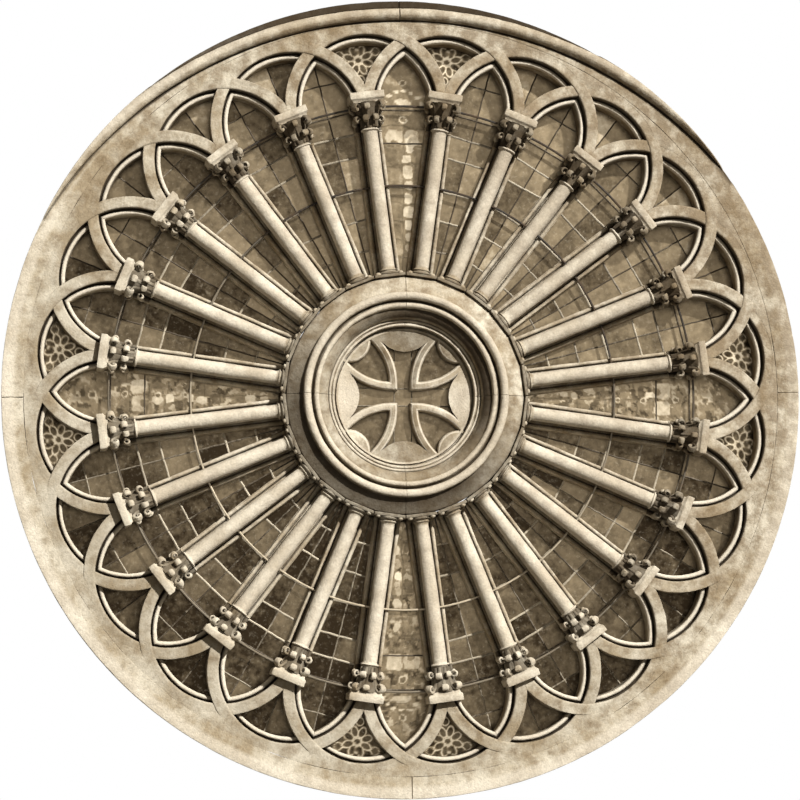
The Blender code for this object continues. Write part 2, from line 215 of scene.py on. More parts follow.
def refined(outline, longest):
    """The closed outline with points added, so that its sides stay under twice this length."""
    out = []
    for a, b in zip(outline, outline[1:] + outline[:1]):
        parts = max(1, int(np.hypot(b[0] - a[0], b[1] - a[1]) / longest))
        out += [(a[0] + (b[0] - a[0]) * i / parts, a[1] + (b[1] - a[1]) * i / parts)
                for i in range(parts)]
    return np.array(out)


def ring_grid(profile, angles):
    """A (radius, depth) profile, or one for each angle, swept through clockwise angles."""
    angles = np.asarray(angles)[:, None]
    radius, depth = profile[..., 0], profile[..., 1]
    return world(np.sin(angles) * radius, depth, np.cos(angles) * radius)


def weather(mesh, *layers):
    """Moves each point along its normal by (amount, grain, seed) layers of smooth noise, as
    worn stone, but not past the outside of the solids."""
    for amount, grain, seed in layers:
        places = np.empty(3 * len(mesh.vertices), np.float32)
        normals = np.empty_like(places)
        mesh.vertices.foreach_get("co", places)
        mesh.vertex_normals.foreach_get("vector", normals)
        places, normals = places.reshape(-1, 3), normals.reshape(-1, 3)
        shift = np.array((1.7, 3.1, 5.3)) * seed
        wear = [noise.fractal(place, 1.0, 2.0, 3) for place in ((places + shift) * grain).tolist()]
        places += normals * (amount * np.array(wear, np.float32))[:, None]
        away = np.hypot(places[:, 0], places[:, 2] - CENTRE_Z)
        inside = np.minimum(1, RADIUS / np.maximum(away, 1e-6))
        places[:, 0] *= inside
        places[:, 2] = CENTRE_Z + (places[:, 2] - CENTRE_Z) * inside
        places[:, 1] = places[:, 1].clip(cad_low.y, cad_high.y)
        mesh.vertices.foreach_set("co", places.ravel())
        mesh.update()


def facing(angles, towards, base, gain):
    """A share from 0 to 1 for each angle, by its nearness to a direction given in degrees."""
    return np.clip(base + gain * np.cos(angles - radians(towards)), 0, 1)[:, None]


def new_object(name, data):
    obj = bpy.data.objects.new(name, data)
    bpy.context.scene.collection.objects.link(obj)
    return obj


def add_piece(name, mesh, slot, *nodes, smooth=40, angle=None):
    """A shown piece that stands for its CAD nodes, turned clockwise by angle."""
    obj = new_object(name, mesh)
    if not mesh.materials:
        for material in MATERIALS[slot]:
            mesh.materials.append(material)
        mesh.shade_smooth()
        mesh.set_sharp_from_angle(angle=radians(smooth))
    if angle is not None:
        about = Matrix.Translation((0, 0, CENTRE_Z))
        obj.matrix_world = about @ Matrix.Rotation(angle, 4, "Y") @ about.inverted()
    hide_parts(*nodes)
    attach(obj, "root")


# ---------------------------------------------------------------- materials
class Nodes:
    """Adds shader nodes to a tree. A value is a plain one or another node's output."""

    def __init__(self, tree):
        self.tree = tree

    def feed(self, socket, value):
        if hasattr(value, "is_linked"):
            self.tree.links.new(value, socket)
        else:
            socket.default_value = value

    def add(self, kind, settings=(), **inputs):
        """A node; settings are its attributes, and inputs are named with _ for a space."""
        node = self.tree.nodes.new("ShaderNode" + kind)
        for key, value in dict(settings).items():
            setattr(node, key, value)
        for key, value in inputs.items():
            self.feed(node.inputs[key.replace("_", " ")], value)
        return node

    def noise(self, where, scale, detail, rough):
        return self.add("TexNoise", Vector=where, Scale=scale, Detail=detail,
                        Roughness=rough).outputs["Fac"]

    def ramp(self, fac, *stops):
        """A colour ramp from stops of a position and a colour, or one number for a grey."""
        node = self.add("ValToRGB", Fac=fac)
        elements = node.color_ramp.elements
        while len(elements) < len(stops):
            elements.new(0.5)
        for element, (position, colour) in zip(elements, stops):
            element.position = position
            element.color = (*(colour if isinstance(colour, tuple) else (colour,) * 3), 1.0)
        return node.outputs["Color"]

    def mix(self, fac, a, b, blend="MIX"):
        node = self.add("Mix", {"data_type": "RGBA", "blend_type": blend})
        for socket, value in zip((node.inputs[0], node.inputs[6], node.inputs[7]), (fac, a, b)):
            self.feed(socket, (*value, 1.0) if isinstance(value, tuple) else value)
        return node.outputs[2]

    def math(self, operation, a, b, clamp=False):
        node = self.add("Math", {"operation": operation, "use_clamp": clamp})
        self.feed(node.inputs[0], a)
        self.feed(node.inputs[1], b)
        return node.outputs[0]

    def plus(self, a, b):
        return self.math("ADD", a, b)

    def times(self, a, b, clamp=False):
        return self.math("MULTIPLY", a, b, clamp)

    def swing(self, field, amount, clamp=False):
        """A field of 0 to 1, as a swing about zero."""
        return self.times(self.math("SUBTRACT", field, 0.5), amount, clamp)


def new_material(name):
    """A material with its nodes, and the place and the tone of its points."""
    material = bpy.data.materials.new(name)
    material.use_nodes = True
    nodes = Nodes(material.node_tree)
    where = nodes.add("NewGeometry").outputs["Position"]
    tone = nodes.add("Attribute", {"attribute_name": "tone"}).outputs["Fac"]
    return material, nodes, where, tone


def finish_material(nodes, colour, rough, height, strength, distance, metallic=0.0):
    """Feeds the shader; strength and distance are those of the bump that height makes."""
    shader = nodes.tree.nodes["Principled BSDF"]
    bump = nodes.add("Bump", Strength=strength, Distance=distance, Height=height)
    nodes.feed(shader.inputs["Base Color"], colour)
    nodes.feed(shader.inputs["Roughness"], rough)
    nodes.feed(shader.inputs["Metallic"], metallic)
    nodes.feed(shader.inputs["Normal"], bump.outputs["Normal"])
    return shader


def stone_material(name, clean_and_lit_tone, pale, dark, stain, soot_and_shade):
    """Old limestone: pale and dark patches, brown stains with more brown towards the upper right,
    pitted grain, and painted shade that darkens the hollows. Below one half the tone attribute
    is paler stone, which is cleaner stone and painted light, and above it sooty stone and painted
    shade."""
    material, nodes, where, tone = new_material(name)
    patches = nodes.noise(where, 2.8, 5.0, 0.66)
    blotches = nodes.noise(where, 10.0, 6.0, 0.68)
    grain = nodes.noise(where, 70.0, 3.0, 0.6)
    colour = nodes.mix(nodes.ramp(patches, (0.38, 0), (0.60, 1)), dark, pale)
    lean = nodes.add("VectorMath", {"operation": "DOT_PRODUCT"})
    nodes.feed(lean.inputs[0], where)
    nodes.feed(lean.inputs[1], (0.030, 0.0, 0.026))
    spots = nodes.ramp(nodes.plus(blotches, lean.outputs["Value"]), (0.50, 0), (0.74, 1))
    colour = nodes.mix(nodes.times(spots, 0.75), colour, stain)
    # Tones below one half: cleaner stone and painted light.
    colour = nodes.mix(nodes.swing(tone, -2.0, clamp=True), colour, clean_and_lit_tone)
    colour = nodes.mix(1.0, colour, nodes.ramp(grain, (0.30, 0.84), (0.62, 1.05)), "MULTIPLY")
    # Painted shade: ambient occlusion darkens the stone in hollows and creases.
    hollow = nodes.add("AmbientOcclusion", {"samples": 4}, Distance=0.10).outputs["AO"]
    painted_hollow_shade = nodes.ramp(hollow, (0.12, 1), (0.66, 0))
    colour = nodes.mix(nodes.times(painted_hollow_shade, 0.85), colour, soot_and_shade)
    # Tones above one half: sooty stone and painted shade.
    colour = nodes.mix(nodes.times(nodes.swing(tone, 2.0, clamp=True), 0.94), colour, soot_and_shade)
    pits = nodes.add("TexVoronoi", Vector=where, Scale=45.0).outputs["Distance"]
    pitted = nodes.times(nodes.ramp(pits, (0.0, 0), (0.35, 1)), 0.3)
    height = nodes.plus(nodes.plus(nodes.times(grain, 0.5), pitted), nodes.times(blotches, 2.2))
    rough = nodes.ramp(blotches, (0.3, 0.78), (0.7, 0.95))
    shader = finish_material(nodes, colour, rough, height, strength=0.6, distance=0.008)
    shader.inputs["Specular IOR Level"].default_value = 0.25
    return material


def glass_material(name, dark, middle, pale):
    """Old leaded glass seen against a dark room: its tone comes from the quarry."""
    material, nodes, where, tone = new_material(name)
    cloud = nodes.noise(where, 7.0, 5.0, 0.6)
    mottle = nodes.noise(where, 24.0, 4.0, 0.6)
    tone = nodes.plus(nodes.plus(tone, nodes.swing(cloud, 0.50)), nodes.swing(mottle, 0.42))
    colour = nodes.ramp(tone, (0.0, dark), (0.5, middle), (1.0, pale))
    dust = nodes.ramp(nodes.noise(where, 38.0, 4.0, 0.7), (0.56, 0), (0.85, 0.22))
    rough = nodes.ramp(cloud, (0.3, 0.26), (0.7, 0.40))
    waves = nodes.noise(where, 14.0, 2.0, 0.5)
    colour = nodes.mix(dust, colour, pale)
    finish_material(nodes, colour, rough, waves, strength=0.35, distance=0.004, metallic=0.92)
    return material


def lead_material(name, dark, pale):
    """Weathered lead: grey where bare, pale where it is crusted."""
    material, nodes, where, tone = new_material(name)
    crust = nodes.noise(where, 30.0, 4.0, 0.7)
    colour = nodes.ramp(nodes.plus(tone, nodes.swing(crust, 0.8)), (0.2, dark), (0.8, pale))
    rough = nodes.ramp(crust, (0.3, 0.5), (0.7, 0.75))
    finish_material(nodes, colour, rough, crust, strength=0.4, distance=0.002, metallic=0.3)
    return material


def iron_material(name, dark, rust, crust):
    """Old painted iron with rust showing through, and lime crust where its tone is high."""
    material, nodes, where, tone = new_material(name)
    patches = nodes.noise(where, 12.0, 5.0, 0.7)
    colour = nodes.mix(tone, nodes.ramp(patches, (0.45, dark), (0.70, rust)), crust)
    rough = nodes.ramp(patches, (0.3, 0.45), (0.7, 0.8))
    pits = nodes.noise(where, 120.0, 3.0, 0.6)
    finish_material(nodes, colour, rough, pits, strength=0.5, distance=0.002, metallic=0.6)
    return material


def make_materials():
    """The materials of each slot, in the order of a mesh's material slots."""
    stone = stone_material("old_stone", clean_and_lit_tone=(0.71, 0.645, 0.54), pale=(0.62, 0.56, 0.45),
                           dark=(0.35, 0.28, 0.185), stain=(0.18, 0.125, 0.068),
                           soot_and_shade=(0.028, 0.017, 0.007))
    glass = glass_material("old_glass", dark=(0.024, 0.016, 0.008),
                           middle=(0.240, 0.190, 0.122), pale=(0.82, 0.73, 0.57))
    lead = lead_material("old_lead", dark=(0.055, 0.040, 0.024), pale=(0.60, 0.53, 0.41))
    iron = iron_material("old_iron", dark=(0.022, 0.018, 0.014), rust=(0.085, 0.055, 0.032),
                         crust=(0.50, 0.43, 0.32))
    return {"carved_stone": [stone], "leaded_glass": [glass, lead], "wrought_iron": [iron]}


MATERIALS = make_materials()


# ---------------------------------------------------------------- rim
def roll_axis(angle):
    """Radius of the hood roll's axis, which is struck from a point beside the centre."""
    return ROLL_TOP + ROLL_DROP * (1 - np.cos(angle)) + ROLL_LEFT * np.sin(angle)


def rim_front(offset):
    """Depth of the rim's front at a distance outside the hood roll's axis."""
    if offset > ROLL_HALF + 0.006:
        return RIM_MARGIN
    if offset > ROLL_HALF:
        return RIM_MARGIN - 0.004
    if abs(offset) <= ROLL_ROUND:
        return ROLL_FRONT + 0.0005 + ROLL_ROUND - sqrt(ROLL_ROUND ** 2 - offset ** 2)
    if offset < -ROLL_HALF - 0.008:
        return RIM_FACE
    return RIM_MARGIN


def rim_section(angle):
    """(radius, depth) points from the back round the outside, over the front to the inside.
    The hood roll keeps its distance from its own axis, and what passes the outside is cut."""
    axis = roll_axis(angle)
    limit = RADIUS - 0.008
    edge = rim_front(limit - axis)
    section = [(RADIUS, DEPTH), (RADIUS, 0.26), (RADIUS, 0.18), (RADIUS, edge + 0.006),
               (RADIUS - 0.003, edge + 0.0015)]
    offsets = [0.30, 0.085, 0.070, ROLL_HALF + 0.0065, ROLL_HALF + 0.0055, ROLL_HALF,
               ROLL_ROUND + 0.0005]
    offsets += [ROLL_ROUND * sin(t) for t in np.radians(np.linspace(90, -90, 17))]
    offsets += [-ROLL_ROUND - 0.0005, -ROLL_HALF - 0.0075, -ROLL_HALF - 0.0085]
    for offset in offsets:
        radius = min(axis + offset, limit)
        section.append((radius, rim_front(radius - axis)))
    last = section[-1][0]
    section += [(last + (RIM_INNER - last) * share, RIM_FACE) for share in (0.2, 0.4, 0.6, 0.8, 1.0)]
    section += [(RIM_INNER, RIM_FACE + 0.003), (RIM_INNER, 0.18), (RIM_INNER, 0.26),
                (RIM_INNER, DEPTH), (RIM_INNER * 0.5 + RADIUS * 0.5, DEPTH)]
    return section


def rim_painted_light_and_shade(angles, sections):
    """Painted shade on the upper side: black in the margin above the hood roll, darker under the roll's
    belly and in the quirk at its foot; a painted highlight on its crest; the outside painted paler
    towards the lower left, as painted light."""
    offset = sections[..., 0] - roll_axis(angles)[:, None]
    painted_shadow_side = np.clip((np.cos(angles) - 0.30) / 0.25, 0, 1)[:, None]
    margin = 0.5 * painted_shadow_side * (offset > ROLL_HALF - 0.006)
    belly = 0.14 * painted_shadow_side * (offset < -0.012) * (offset > -ROLL_HALF)
    quirk = 0.42 * painted_shadow_side * (np.abs(offset + ROLL_HALF + 0.003) < 0.0065)
    crest = 0.12 * (np.abs(offset) < 0.040)
    painted_lit_side = facing(angles, 20, 0.75, -0.75)
    outer = np.clip((sections[..., 0] - 2.895) / 0.03, 0, 1)
    return 0.53 + np.maximum(np.maximum(margin, belly), quirk) - 0.28 * painted_lit_side * outer - crest


def build_rim():
    """Four stones whose arrises are dressed off at the joints."""
    span = radians(360 / RIM_PIECES)
    arris, dressed = 0.005 / RADIUS, 0.006
    for i in range(RIM_PIECES):
        start = i * span + RIM_JOINT + GAP / RADIUS
        end = start + span - 2 * GAP / RADIUS
        angles = np.array([start, start + arris, *np.linspace(start, end, 141)[1:-1], end - arris, end])
        sections = np.array([rim_section(angle) for angle in angles])
        # The tone holds the rim's painted shade and painted light.
        crust = rim_painted_light_and_shade(angles, sections)
        sections[[0, -1], :, 1] += dressed * (sections[[0, -1], :, 1] < 0.15)
        shell = Shell()
        shell.tube(ring_grid(sections, angles), crust)
        mesh = shell.mesh(f"rim_{i + 1}", merge=1e-5)
        weather(mesh, *WALL_WEAR)
        add_piece(f"rim_stone_{i + 1}", mesh, "carved_stone", f"rim_quadrant_{i + 1}")


# ---------------------------------------------------------------- interlaced arcade
SPRINGER_RISE = ABACUS_TOP + GAP - SPRING_R * cos(BAY)
AXIS_REACH = sqrt(SPRINGER_RISE ** 2 + (SPRING_R * sin(BAY)) ** 2)
CROSSING = asin(2 * SPRING_R * sin(BAY / 2) / (ARCH_OUT + ARCH_IN)) + BAY / 2
ROLL_DEPTH = 0.158              # depth of the axis of the roll inside each arch
UNDER_DIP = 0.007               # how far the arch that passes under is cut back
BAND_STEP = 0.075               # spacing of points on the plain sides of its section


def band_profile():
    """(arch radius, depth): back, soffit, roll, groove, arris, front, arris, back."""
    front = ARCADE_FRONT
    return ([(ARCH_ROLL_IN, ARCADE_BACK), (ARCH_ROLL_IN, 0.205)]
            + arc(0.5045, ROLL_DEPTH, 0.0165, 180, 0, 8)
            + [(0.5235, ROLL_DEPTH + 0.010), (0.528, ROLL_DEPTH + 0.014),
               (0.532, ROLL_DEPTH + 0.006), (ARCH_IN, ROLL_DEPTH - 0.003),
               (ARCH_IN, front + 0.011), (0.5365, front + 0.0045), (0.543, front + 0.0005),
               (0.552, front), (0.566, front), (0.580, front), (0.594, front), (0.603, front),
               (0.611, front), (0.6175, front + 0.0015), (ARCH_OUT, front + 0.006),
               (ARCH_OUT, ARCADE_BACK)])


def turn_on_bay_axis(rho):
    """Turn at which a circle of the arch crosses the middle of the next bay."""
    side = SPRING_R * sin(BAY / 2)
    along = SPRING_R * cos(BAY / 2) + np.sqrt(rho ** 2 - side ** 2)
    return np.arctan2(along * sin(BAY / 2), along * cos(BAY / 2) - SPRING_R)


def crossing_dip(turn):
    """How far, from 0 to 1, the front is cut back where the arch passes under another."""
    dip = np.clip((0.155 - np.abs(-turn - CROSSING) * 0.577) / 0.065, 0, 1)
    return dip * dip * (3 - 2 * dip)


def arch_grid(leg_steps, crown_steps):
    """An arch over the axis at 0, from one column's axis to the other's. It passes over its
    neighbour on the clockwise side and under the other one, where its front dips a little.
    Its rolls are mitred with its neighbours' on the axes of the bays."""
    profile = refined(band_profile(), BAND_STEP)
    rho = profile[:, 0][None, :]
    end = BAY + np.arccos(SPRINGER_RISE / np.minimum(rho, AXIS_REACH))
    mitre = turn_on_bay_axis(rho)
    leg = np.linspace(0, 1, leg_steps + 1)[:, None]
    leg = mitre + (end - mitre) * leg
    crown = (mitre - 0.002) * np.linspace(-1, 1, 2 * crown_steps + 1)[:, None]
    turn = np.concatenate((-leg[::-1], crown, leg))
    rho = rho + 0 * turn
    away = np.maximum(np.abs(turn) - BAY, 1e-6)
    limit = np.where(np.abs(turn) > BAY, SPRING_R * sin(BAY) / np.sin(away), 9.0)
    depth = profile[:, 1][None, :] + 0 * turn
    front = depth < ARCADE_FRONT + 0.02
    depth = np.where((rho > limit) & front, ARCADE_FRONT, depth)
    across_neighbour = np.hypot(rho * np.sin(np.abs(turn)) - SPRING_R * sin(BAY),
                                rho * np.cos(turn) + SPRING_R * (1 - cos(BAY)))
    covered = (np.abs(turn) < mitre - 0.001) & (rho < ARCH_IN + 0.001)
    covered &= across_neighbour < ARCH_IN + 0.004
    depth = np.where(covered, np.maximum(depth, 0.24), depth)
    rho = np.minimum(rho, limit)
    depth = depth + np.where(front, crossing_dip(turn) * UNDER_DIP, 0)
    depth = np.where((depth > ARCADE_BACK - 0.001) & (turn < 0), ARCADE_BACK - 0.001, depth)
    x, z = rho * np.sin(turn), SPRING_R + rho * np.cos(turn)
    radius = np.hypot(x, z)
    edge = np.minimum(radius, ARCADE_RIM - 0.0004) / radius
    return world(x * edge, depth, z * edge)


def corner_fill(steps):
    """The small sunk triangle between two crossing arches and the rim."""
    phi = np.linspace(0, BAY, steps + 1)
    nearest = np.minimum(phi, BAY - phi)
    low = SPRING_R * np.cos(nearest) + np.sqrt(0.600 ** 2 - (SPRING_R * np.sin(nearest)) ** 2)
    top = ARCADE_RIM - 0.0008
    front, back = ARCADE_FRONT - 0.0012, ARCADE_BACK
    turn = np.arctan2(low * np.sin(phi - BAY), low * np.cos(phi - BAY) - SPRING_R)
    sunk = front + UNDER_DIP * crossing_dip(turn) * (phi > BAY / 2 - 0.001)
    rows = []
    for radius, depth in ((low, sunk), (low / 2 + top / 2, front), (top, front),
                          (top, back), (low, back)):
        radius = np.broadcast_to(radius, phi.shape)
        rows.append(world(radius * np.sin(phi), depth, radius * np.cos(phi)))
    return np.stack(rows, axis=1)


def build_arcade():
    arch, fill = arch_grid(18, 15), corner_fill(16)
    rho, depth = refined(band_profile(), BAND_STEP).T
    # Painted light and shade: the roll inside each arch is painted pale, a painted highlight, and the
    # groove beside it dark, painted shade.
    tone = np.where(rho < 0.522, 0.06, np.where(rho < ARCH_IN + 0.0001, 0.86, 0.50))
    tone[depth > ROLL_DEPTH + 0.02] = 0.60
    shell = Shell()
    for bay in range(BAYS):
        angle = (bay + 0.5) * BAY
        # Grimier towards the lower left, and painted paler towards the upper right, as painted light
        # against the shadows cast there.
        dirt_and_painted_light = 0.06 - 0.08 * cos(angle - radians(45))
        shell.tube(turned(arch, angle), tone + dirt_and_painted_light)
        shell.tube(turned(fill, angle), 0.48 + dirt_and_painted_light)
    mesh = shell.mesh("arcade")
    weather(mesh, *WALL_WEAR)
    add_piece("arcade_stone", mesh, "carved_stone", "interlaced_arcade")


# ---------------------------------------------------------------- colonnettes
def lathe(rings, sides=32, axis_depth=SHAFT_AXIS, axis_across=0.0):
    """(along, radius) rings about an axis that runs outwards."""
    rings = np.array(rings)
    turns = np.linspace(0, 2 * pi, sides, endpoint=False)
    across = axis_across + np.outer(rings[:, 1], np.cos(turns))
    depth = axis_depth + np.outer(rings[:, 1], np.sin(turns))
    return world(across, depth, rings[:, 0][:, None])


def bulge(middle, half, inner, outer, steps=6):
    """Rings of a torus moulding round the shaft."""
    turns = np.linspace(-pi / 2, pi / 2, steps + 1)
    return [(middle + half * sin(t), inner + (outer - inner) * cos(t)) for t in turns]


def shaft_rings():
    """Attic base, tapered shaft, necking and bell."""
    base = ([(PLINTH_TOP - 0.008, 0.060)] + bulge(0.9265, 0.0095, 0.069, BASE_R)
            + [(0.938, 0.062), (0.942, 0.0585), (0.946, 0.0585), (0.949, 0.061)]
            + bulge(0.9535, 0.005, 0.059, 0.065, 4) + [(0.961, 0.056), (0.970, SHAFT_R_HUB + 0.001)])
    shaft = []
    for share in np.linspace(0, 1, 11):
        swell = 0.0012 * sin(pi * share)
        shaft.append((0.985 + share * 1.020, SHAFT_R_HUB + (SHAFT_R_RIM - SHAFT_R_HUB) * share + swell))
    neck = [(2.016, SHAFT_R_RIM + 0.002)] + bulge(NECK - 0.009, 0.009, 0.057, 0.070)
    bell = [(2.041, 0.058), (2.070, 0.061), (2.110, 0.068), (2.150, 0.078), (2.185, 0.090),
            (2.210, 0.102), (ABACUS_LIP + 0.004, 0.112)]
    return base + shaft + neck + bell


def normals_along(path):
    """Directions across a path of two coordinates."""
    tangent = np.gradient(path, axis=0)
    tangent /= np.linalg.norm(tangent, axis=1)[:, None]
    return np.stack((-tangent[:, 1], tangent[:, 0]), axis=1)


def leaf(turn, path, widths, thickness):
    """A carved leaf on the bell. The path is in (radius, along); the blade is a flattened
    tube, hollowed along its rib, and turn is its direction about the shaft's axis."""
    path, width = spline(path, 3), spline(widths[:, None], 3)[:, 0]
    normal = normals_along(path)
    t = np.linspace(0, 2 * pi, 10, endpoint=False)
    lobe = 1 - 0.35 * np.exp(-(np.cos(t) / 0.35) ** 2) * (np.sin(t) < 0.2)
    side = np.outer(width, np.cos(t))
    out = thickness * np.outer(np.minimum(1, width / (0.4 * width.max()) + 0.25), -np.sin(t) * lobe)
    radius = path[:, :1] + normal[:, :1] * out
    along = path[:, 1:] + normal[:, 1:] * out
    across = radius * cos(turn) - side * sin(turn)
    depth = SHAFT_AXIS + radius * sin(turn) + side * cos(turn)
    return world(across, depth, along)


def spline(points, between):
    """Catmull-Rom curve through the rows of points."""
    points = np.asarray(points, float)
    padded = np.vstack((2 * points[0] - points[1], points, 2 * points[-1] - points[-2]))
    out = []
    for i in range(1, len(padded) - 2):
        p0, p1, p2, p3 = padded[i - 1:i + 3]
        for s in np.linspace(0, 1, between, endpoint=False):
            out.append(0.5 * (2 * p1 + (p2 - p0) * s + (2 * p0 - 5 * p1 + 4 * p2 - p3) * s ** 2
                              + (3 * p1 - p0 - 3 * p2 + p3) * s ** 3))
    out.append(points[-1])
    return np.array(out)


def volute_path(tip_r, top, curl, foot=2.045, foot_r=0.060):
    """A stem that rises against the bell and curls over at its tip, in (radius, along)."""
    stem = [(foot_r, foot), (foot_r + 0.003, foot + 0.45 * (top - foot)),
            (foot_r + 0.25 * (tip_r - foot_r), foot + 0.78 * (top - foot))]
    centre = (tip_r - curl, top - curl)
    turns = np.radians(np.linspace(115, -190, 8))
    shrink = np.linspace(1.0, 0.45, 8)
    return stem + [(centre[0] + curl * s * cos(t), centre[1] + curl * s * sin(t))
                   for t, s in zip(turns, shrink)]


def capital_leaves(shell, dice, pale):
    """Corner volutes under the abacus, a leaf on each face and eight low leaves, each a
    little different. Painted shade darkens their stems; painted light makes the tips paler, and paler
    still on some columns."""
    widths = np.array([0.014, 0.018, 0.019, 0.024, 0.028, 0.029, 0.028, 0.026, 0.022, 0.017, 0.011])
    # Along each leaf: painted shade at the stem, painted light towards the tip.
    grown_tones = (0.90, 0.78, 0.42, 0.30) if pale else (0.97, 0.93, 0.74, 0.46)

    def grown(turn, tip_r, top, curl, size, thickness, **foot):
        path = volute_path(tip_r * dice.uniform(0.93, 1.0), top - dice.uniform(0, 0.012),
                           curl * dice.uniform(0.85, 1.15), **foot)
        turn = radians(turn + dice.uniform(-7, 7))
        grid = leaf(turn, path, widths * size * dice.uniform(0.8, 1.15), thickness)
        grime_and_shade = np.interp(np.linspace(0, 1, len(grid)), (0.0, 0.22, 0.45, 1.0), grown_tones)
        shell.tube(grid, grime_and_shade[:, None] + dice.uniform(-0.1, 0.1))

    for quarter in range(4):
        grown(45 + 90 * quarter, 0.170, ABACUS_LIP + 0.001, 0.030, 0.95, 0.013)
        grown(90 * quarter, 0.142, ABACUS_LIP - 0.006, 0.022, 0.85, 0.011, foot=2.100, foot_r=0.070)
    for eighth in range(8):
        grown(22 + 45 * eighth, 0.126, 2.132, 0.024, 0.80, 0.011, foot_r=0.058)


def mullion_grid():
    """A slab whose front corners are rolls beside quirks, with shoulders behind the glass."""
    roll_x, roll_d = MULLION_HALF - MULLION_ROLL, MULLION_FRONT + MULLION_ROLL
    shoulder, bed = MULLION_HALF + 0.005, LIGHT_GLASS[0] - 0.003
    quirk_x, quirk_d = roll_x - MULLION_ROLL, roll_d + 0.012
    right = [(shoulder, ARCADE_BACK), (shoulder, bed), (MULLION_HALF, bed - 0.004),
             (MULLION_HALF, roll_d + 0.010)]
    right += arc(roll_x, roll_d, MULLION_ROLL, 0, 180, 10)
    right += [(quirk_x - 0.001, quirk_d), (quirk_x - 0.005, quirk_d),
              (quirk_x - 0.009, MULLION_FRONT + 0.009)]
    section = np.array(right + [(-x, d) for x, d in reversed(right)])
    along = np.linspace(PLINTH_TOP - 0.004, ABACUS_TOP - 0.010, 24)[:, None]
    return world(section[:, 0], section[:, 1], along)


def small_capital(shell, hand):
    """Necking, crocket and base of the roll on one side of the mullion."""
    x = hand * (MULLION_HALF - MULLION_ROLL)
    depth = MULLION_FRONT + MULLION_ROLL
    for low, high, size in ((PLINTH_TOP - 0.004, 0.955, 0.021), (2.020, 2.034, 0.0205)):
        shell.tube(lathe(bulge((low + high) / 2, (high - low) / 2, 0.010, size), 14, depth, x))
    bell = [(2.034, 0.015), (2.060, 0.017), (2.100, 0.021), (2.150, 0.027), (2.200, 0.034),
            (2.245, 0.040)]
    shell.tube(lathe(bell, 16, depth, x), 0.90)
    knobs = ((0.034, 2.092, 0.025, 20), (0.034, 2.190, 0.030, 20), (0.030, 2.118, 0.024, -60),
             (0.040, 2.215, 0.029, -70))
    for out, along, size, turn in knobs:
        turn = radians(turn)
        knob = lathe(bulge(along, size, 0.0, size * 0.82), 10, depth - out * cos(turn) * 0.9,
                     x + hand * out * sin(turn) * 0.6 + hand * 0.010)
        shell.grid(knob, round_v=True, tone=0.42)


def block_grid(levels, outline_at, longest):
    """A block from its (across, depth) outline at each level, which starts with its height."""
    rows = []
    for level in levels:
        outline = refined(outline_at(*level), longest)
        rows.append(world(outline[:, 0], outline[:, 1], level[0]))
    count = min(len(row) for row in rows)
    return np.stack([row[:count] for row in rows])


def abacus_grid():
    """Square block with a hollow chamfer below and dressed arrises."""
    def outline(along, inset):
        half, front, corner = ABACUS_HALF - inset, ABACUS_FRONT + inset, 0.006
        return (arc(half - corner, front + corner, corner, 0, 90, 3)
                + arc(corner - half, front + corner, corner, 90, 180, 3)
                + [(-half, ARCADE_BACK - 0.001), (half, ARCADE_BACK - 0.001)])

    levels = [(ABACUS_LIP, 0.018), (ABACUS_LIP + 0.010, 0.017), (ABACUS_LIP + 0.019, 0.012),
              (ABACUS_LIP + 0.026, 0.004), (ABACUS_LIP + 0.029, 0.001), (ABACUS_LIP + 0.034, 0.0),
              (ABACUS_TOP - 0.004, 0.0), (ABACUS_TOP - 0.001, 0.002), (ABACUS_TOP, 0.005)]
    return block_grid(levels, outline, 0.030)


def plinth_grid():
    """Wedge-shaped block between its neighbours, with a dressed arris in front."""
    def outline(along, inset):
        side = along * tan(BAY / 2) - GAP
        half, front, back = side - inset, PLINTH_FRONT + inset, ARCADE_BACK - 0.001
        return [(side, back), (side, front + 0.016), (half, front + 0.004),
                (half - 0.004, front), (-half + 0.004, front), (-half, front + 0.004),
                (-side, front + 0.016), (-side, back)]

    levels = ((PLINTH_BOTTOM, 0.007), (PLINTH_BOTTOM + 0.003, 0.003),
              (PLINTH_TOP - 0.004, 0.003), (PLINTH_TOP, 0.006))
    return block_grid(levels, outline, 0.05)


def glass_bed_grid():
    """Low step at the back of the plinth, on which the glass of the lights stands."""
    def outline(along):
        side = along * tan(BAY / 2) - GAP
        front, back = LIGHT_GLASS[0] - 0.008, ARCADE_BACK - 0.001
        return [(side, back), (side, front), (-side, front), (-side, back)]

    return block_grid(((PLINTH_TOP - 0.006,), (PLINTH_TOP + 0.015,)), outline, 0.05)


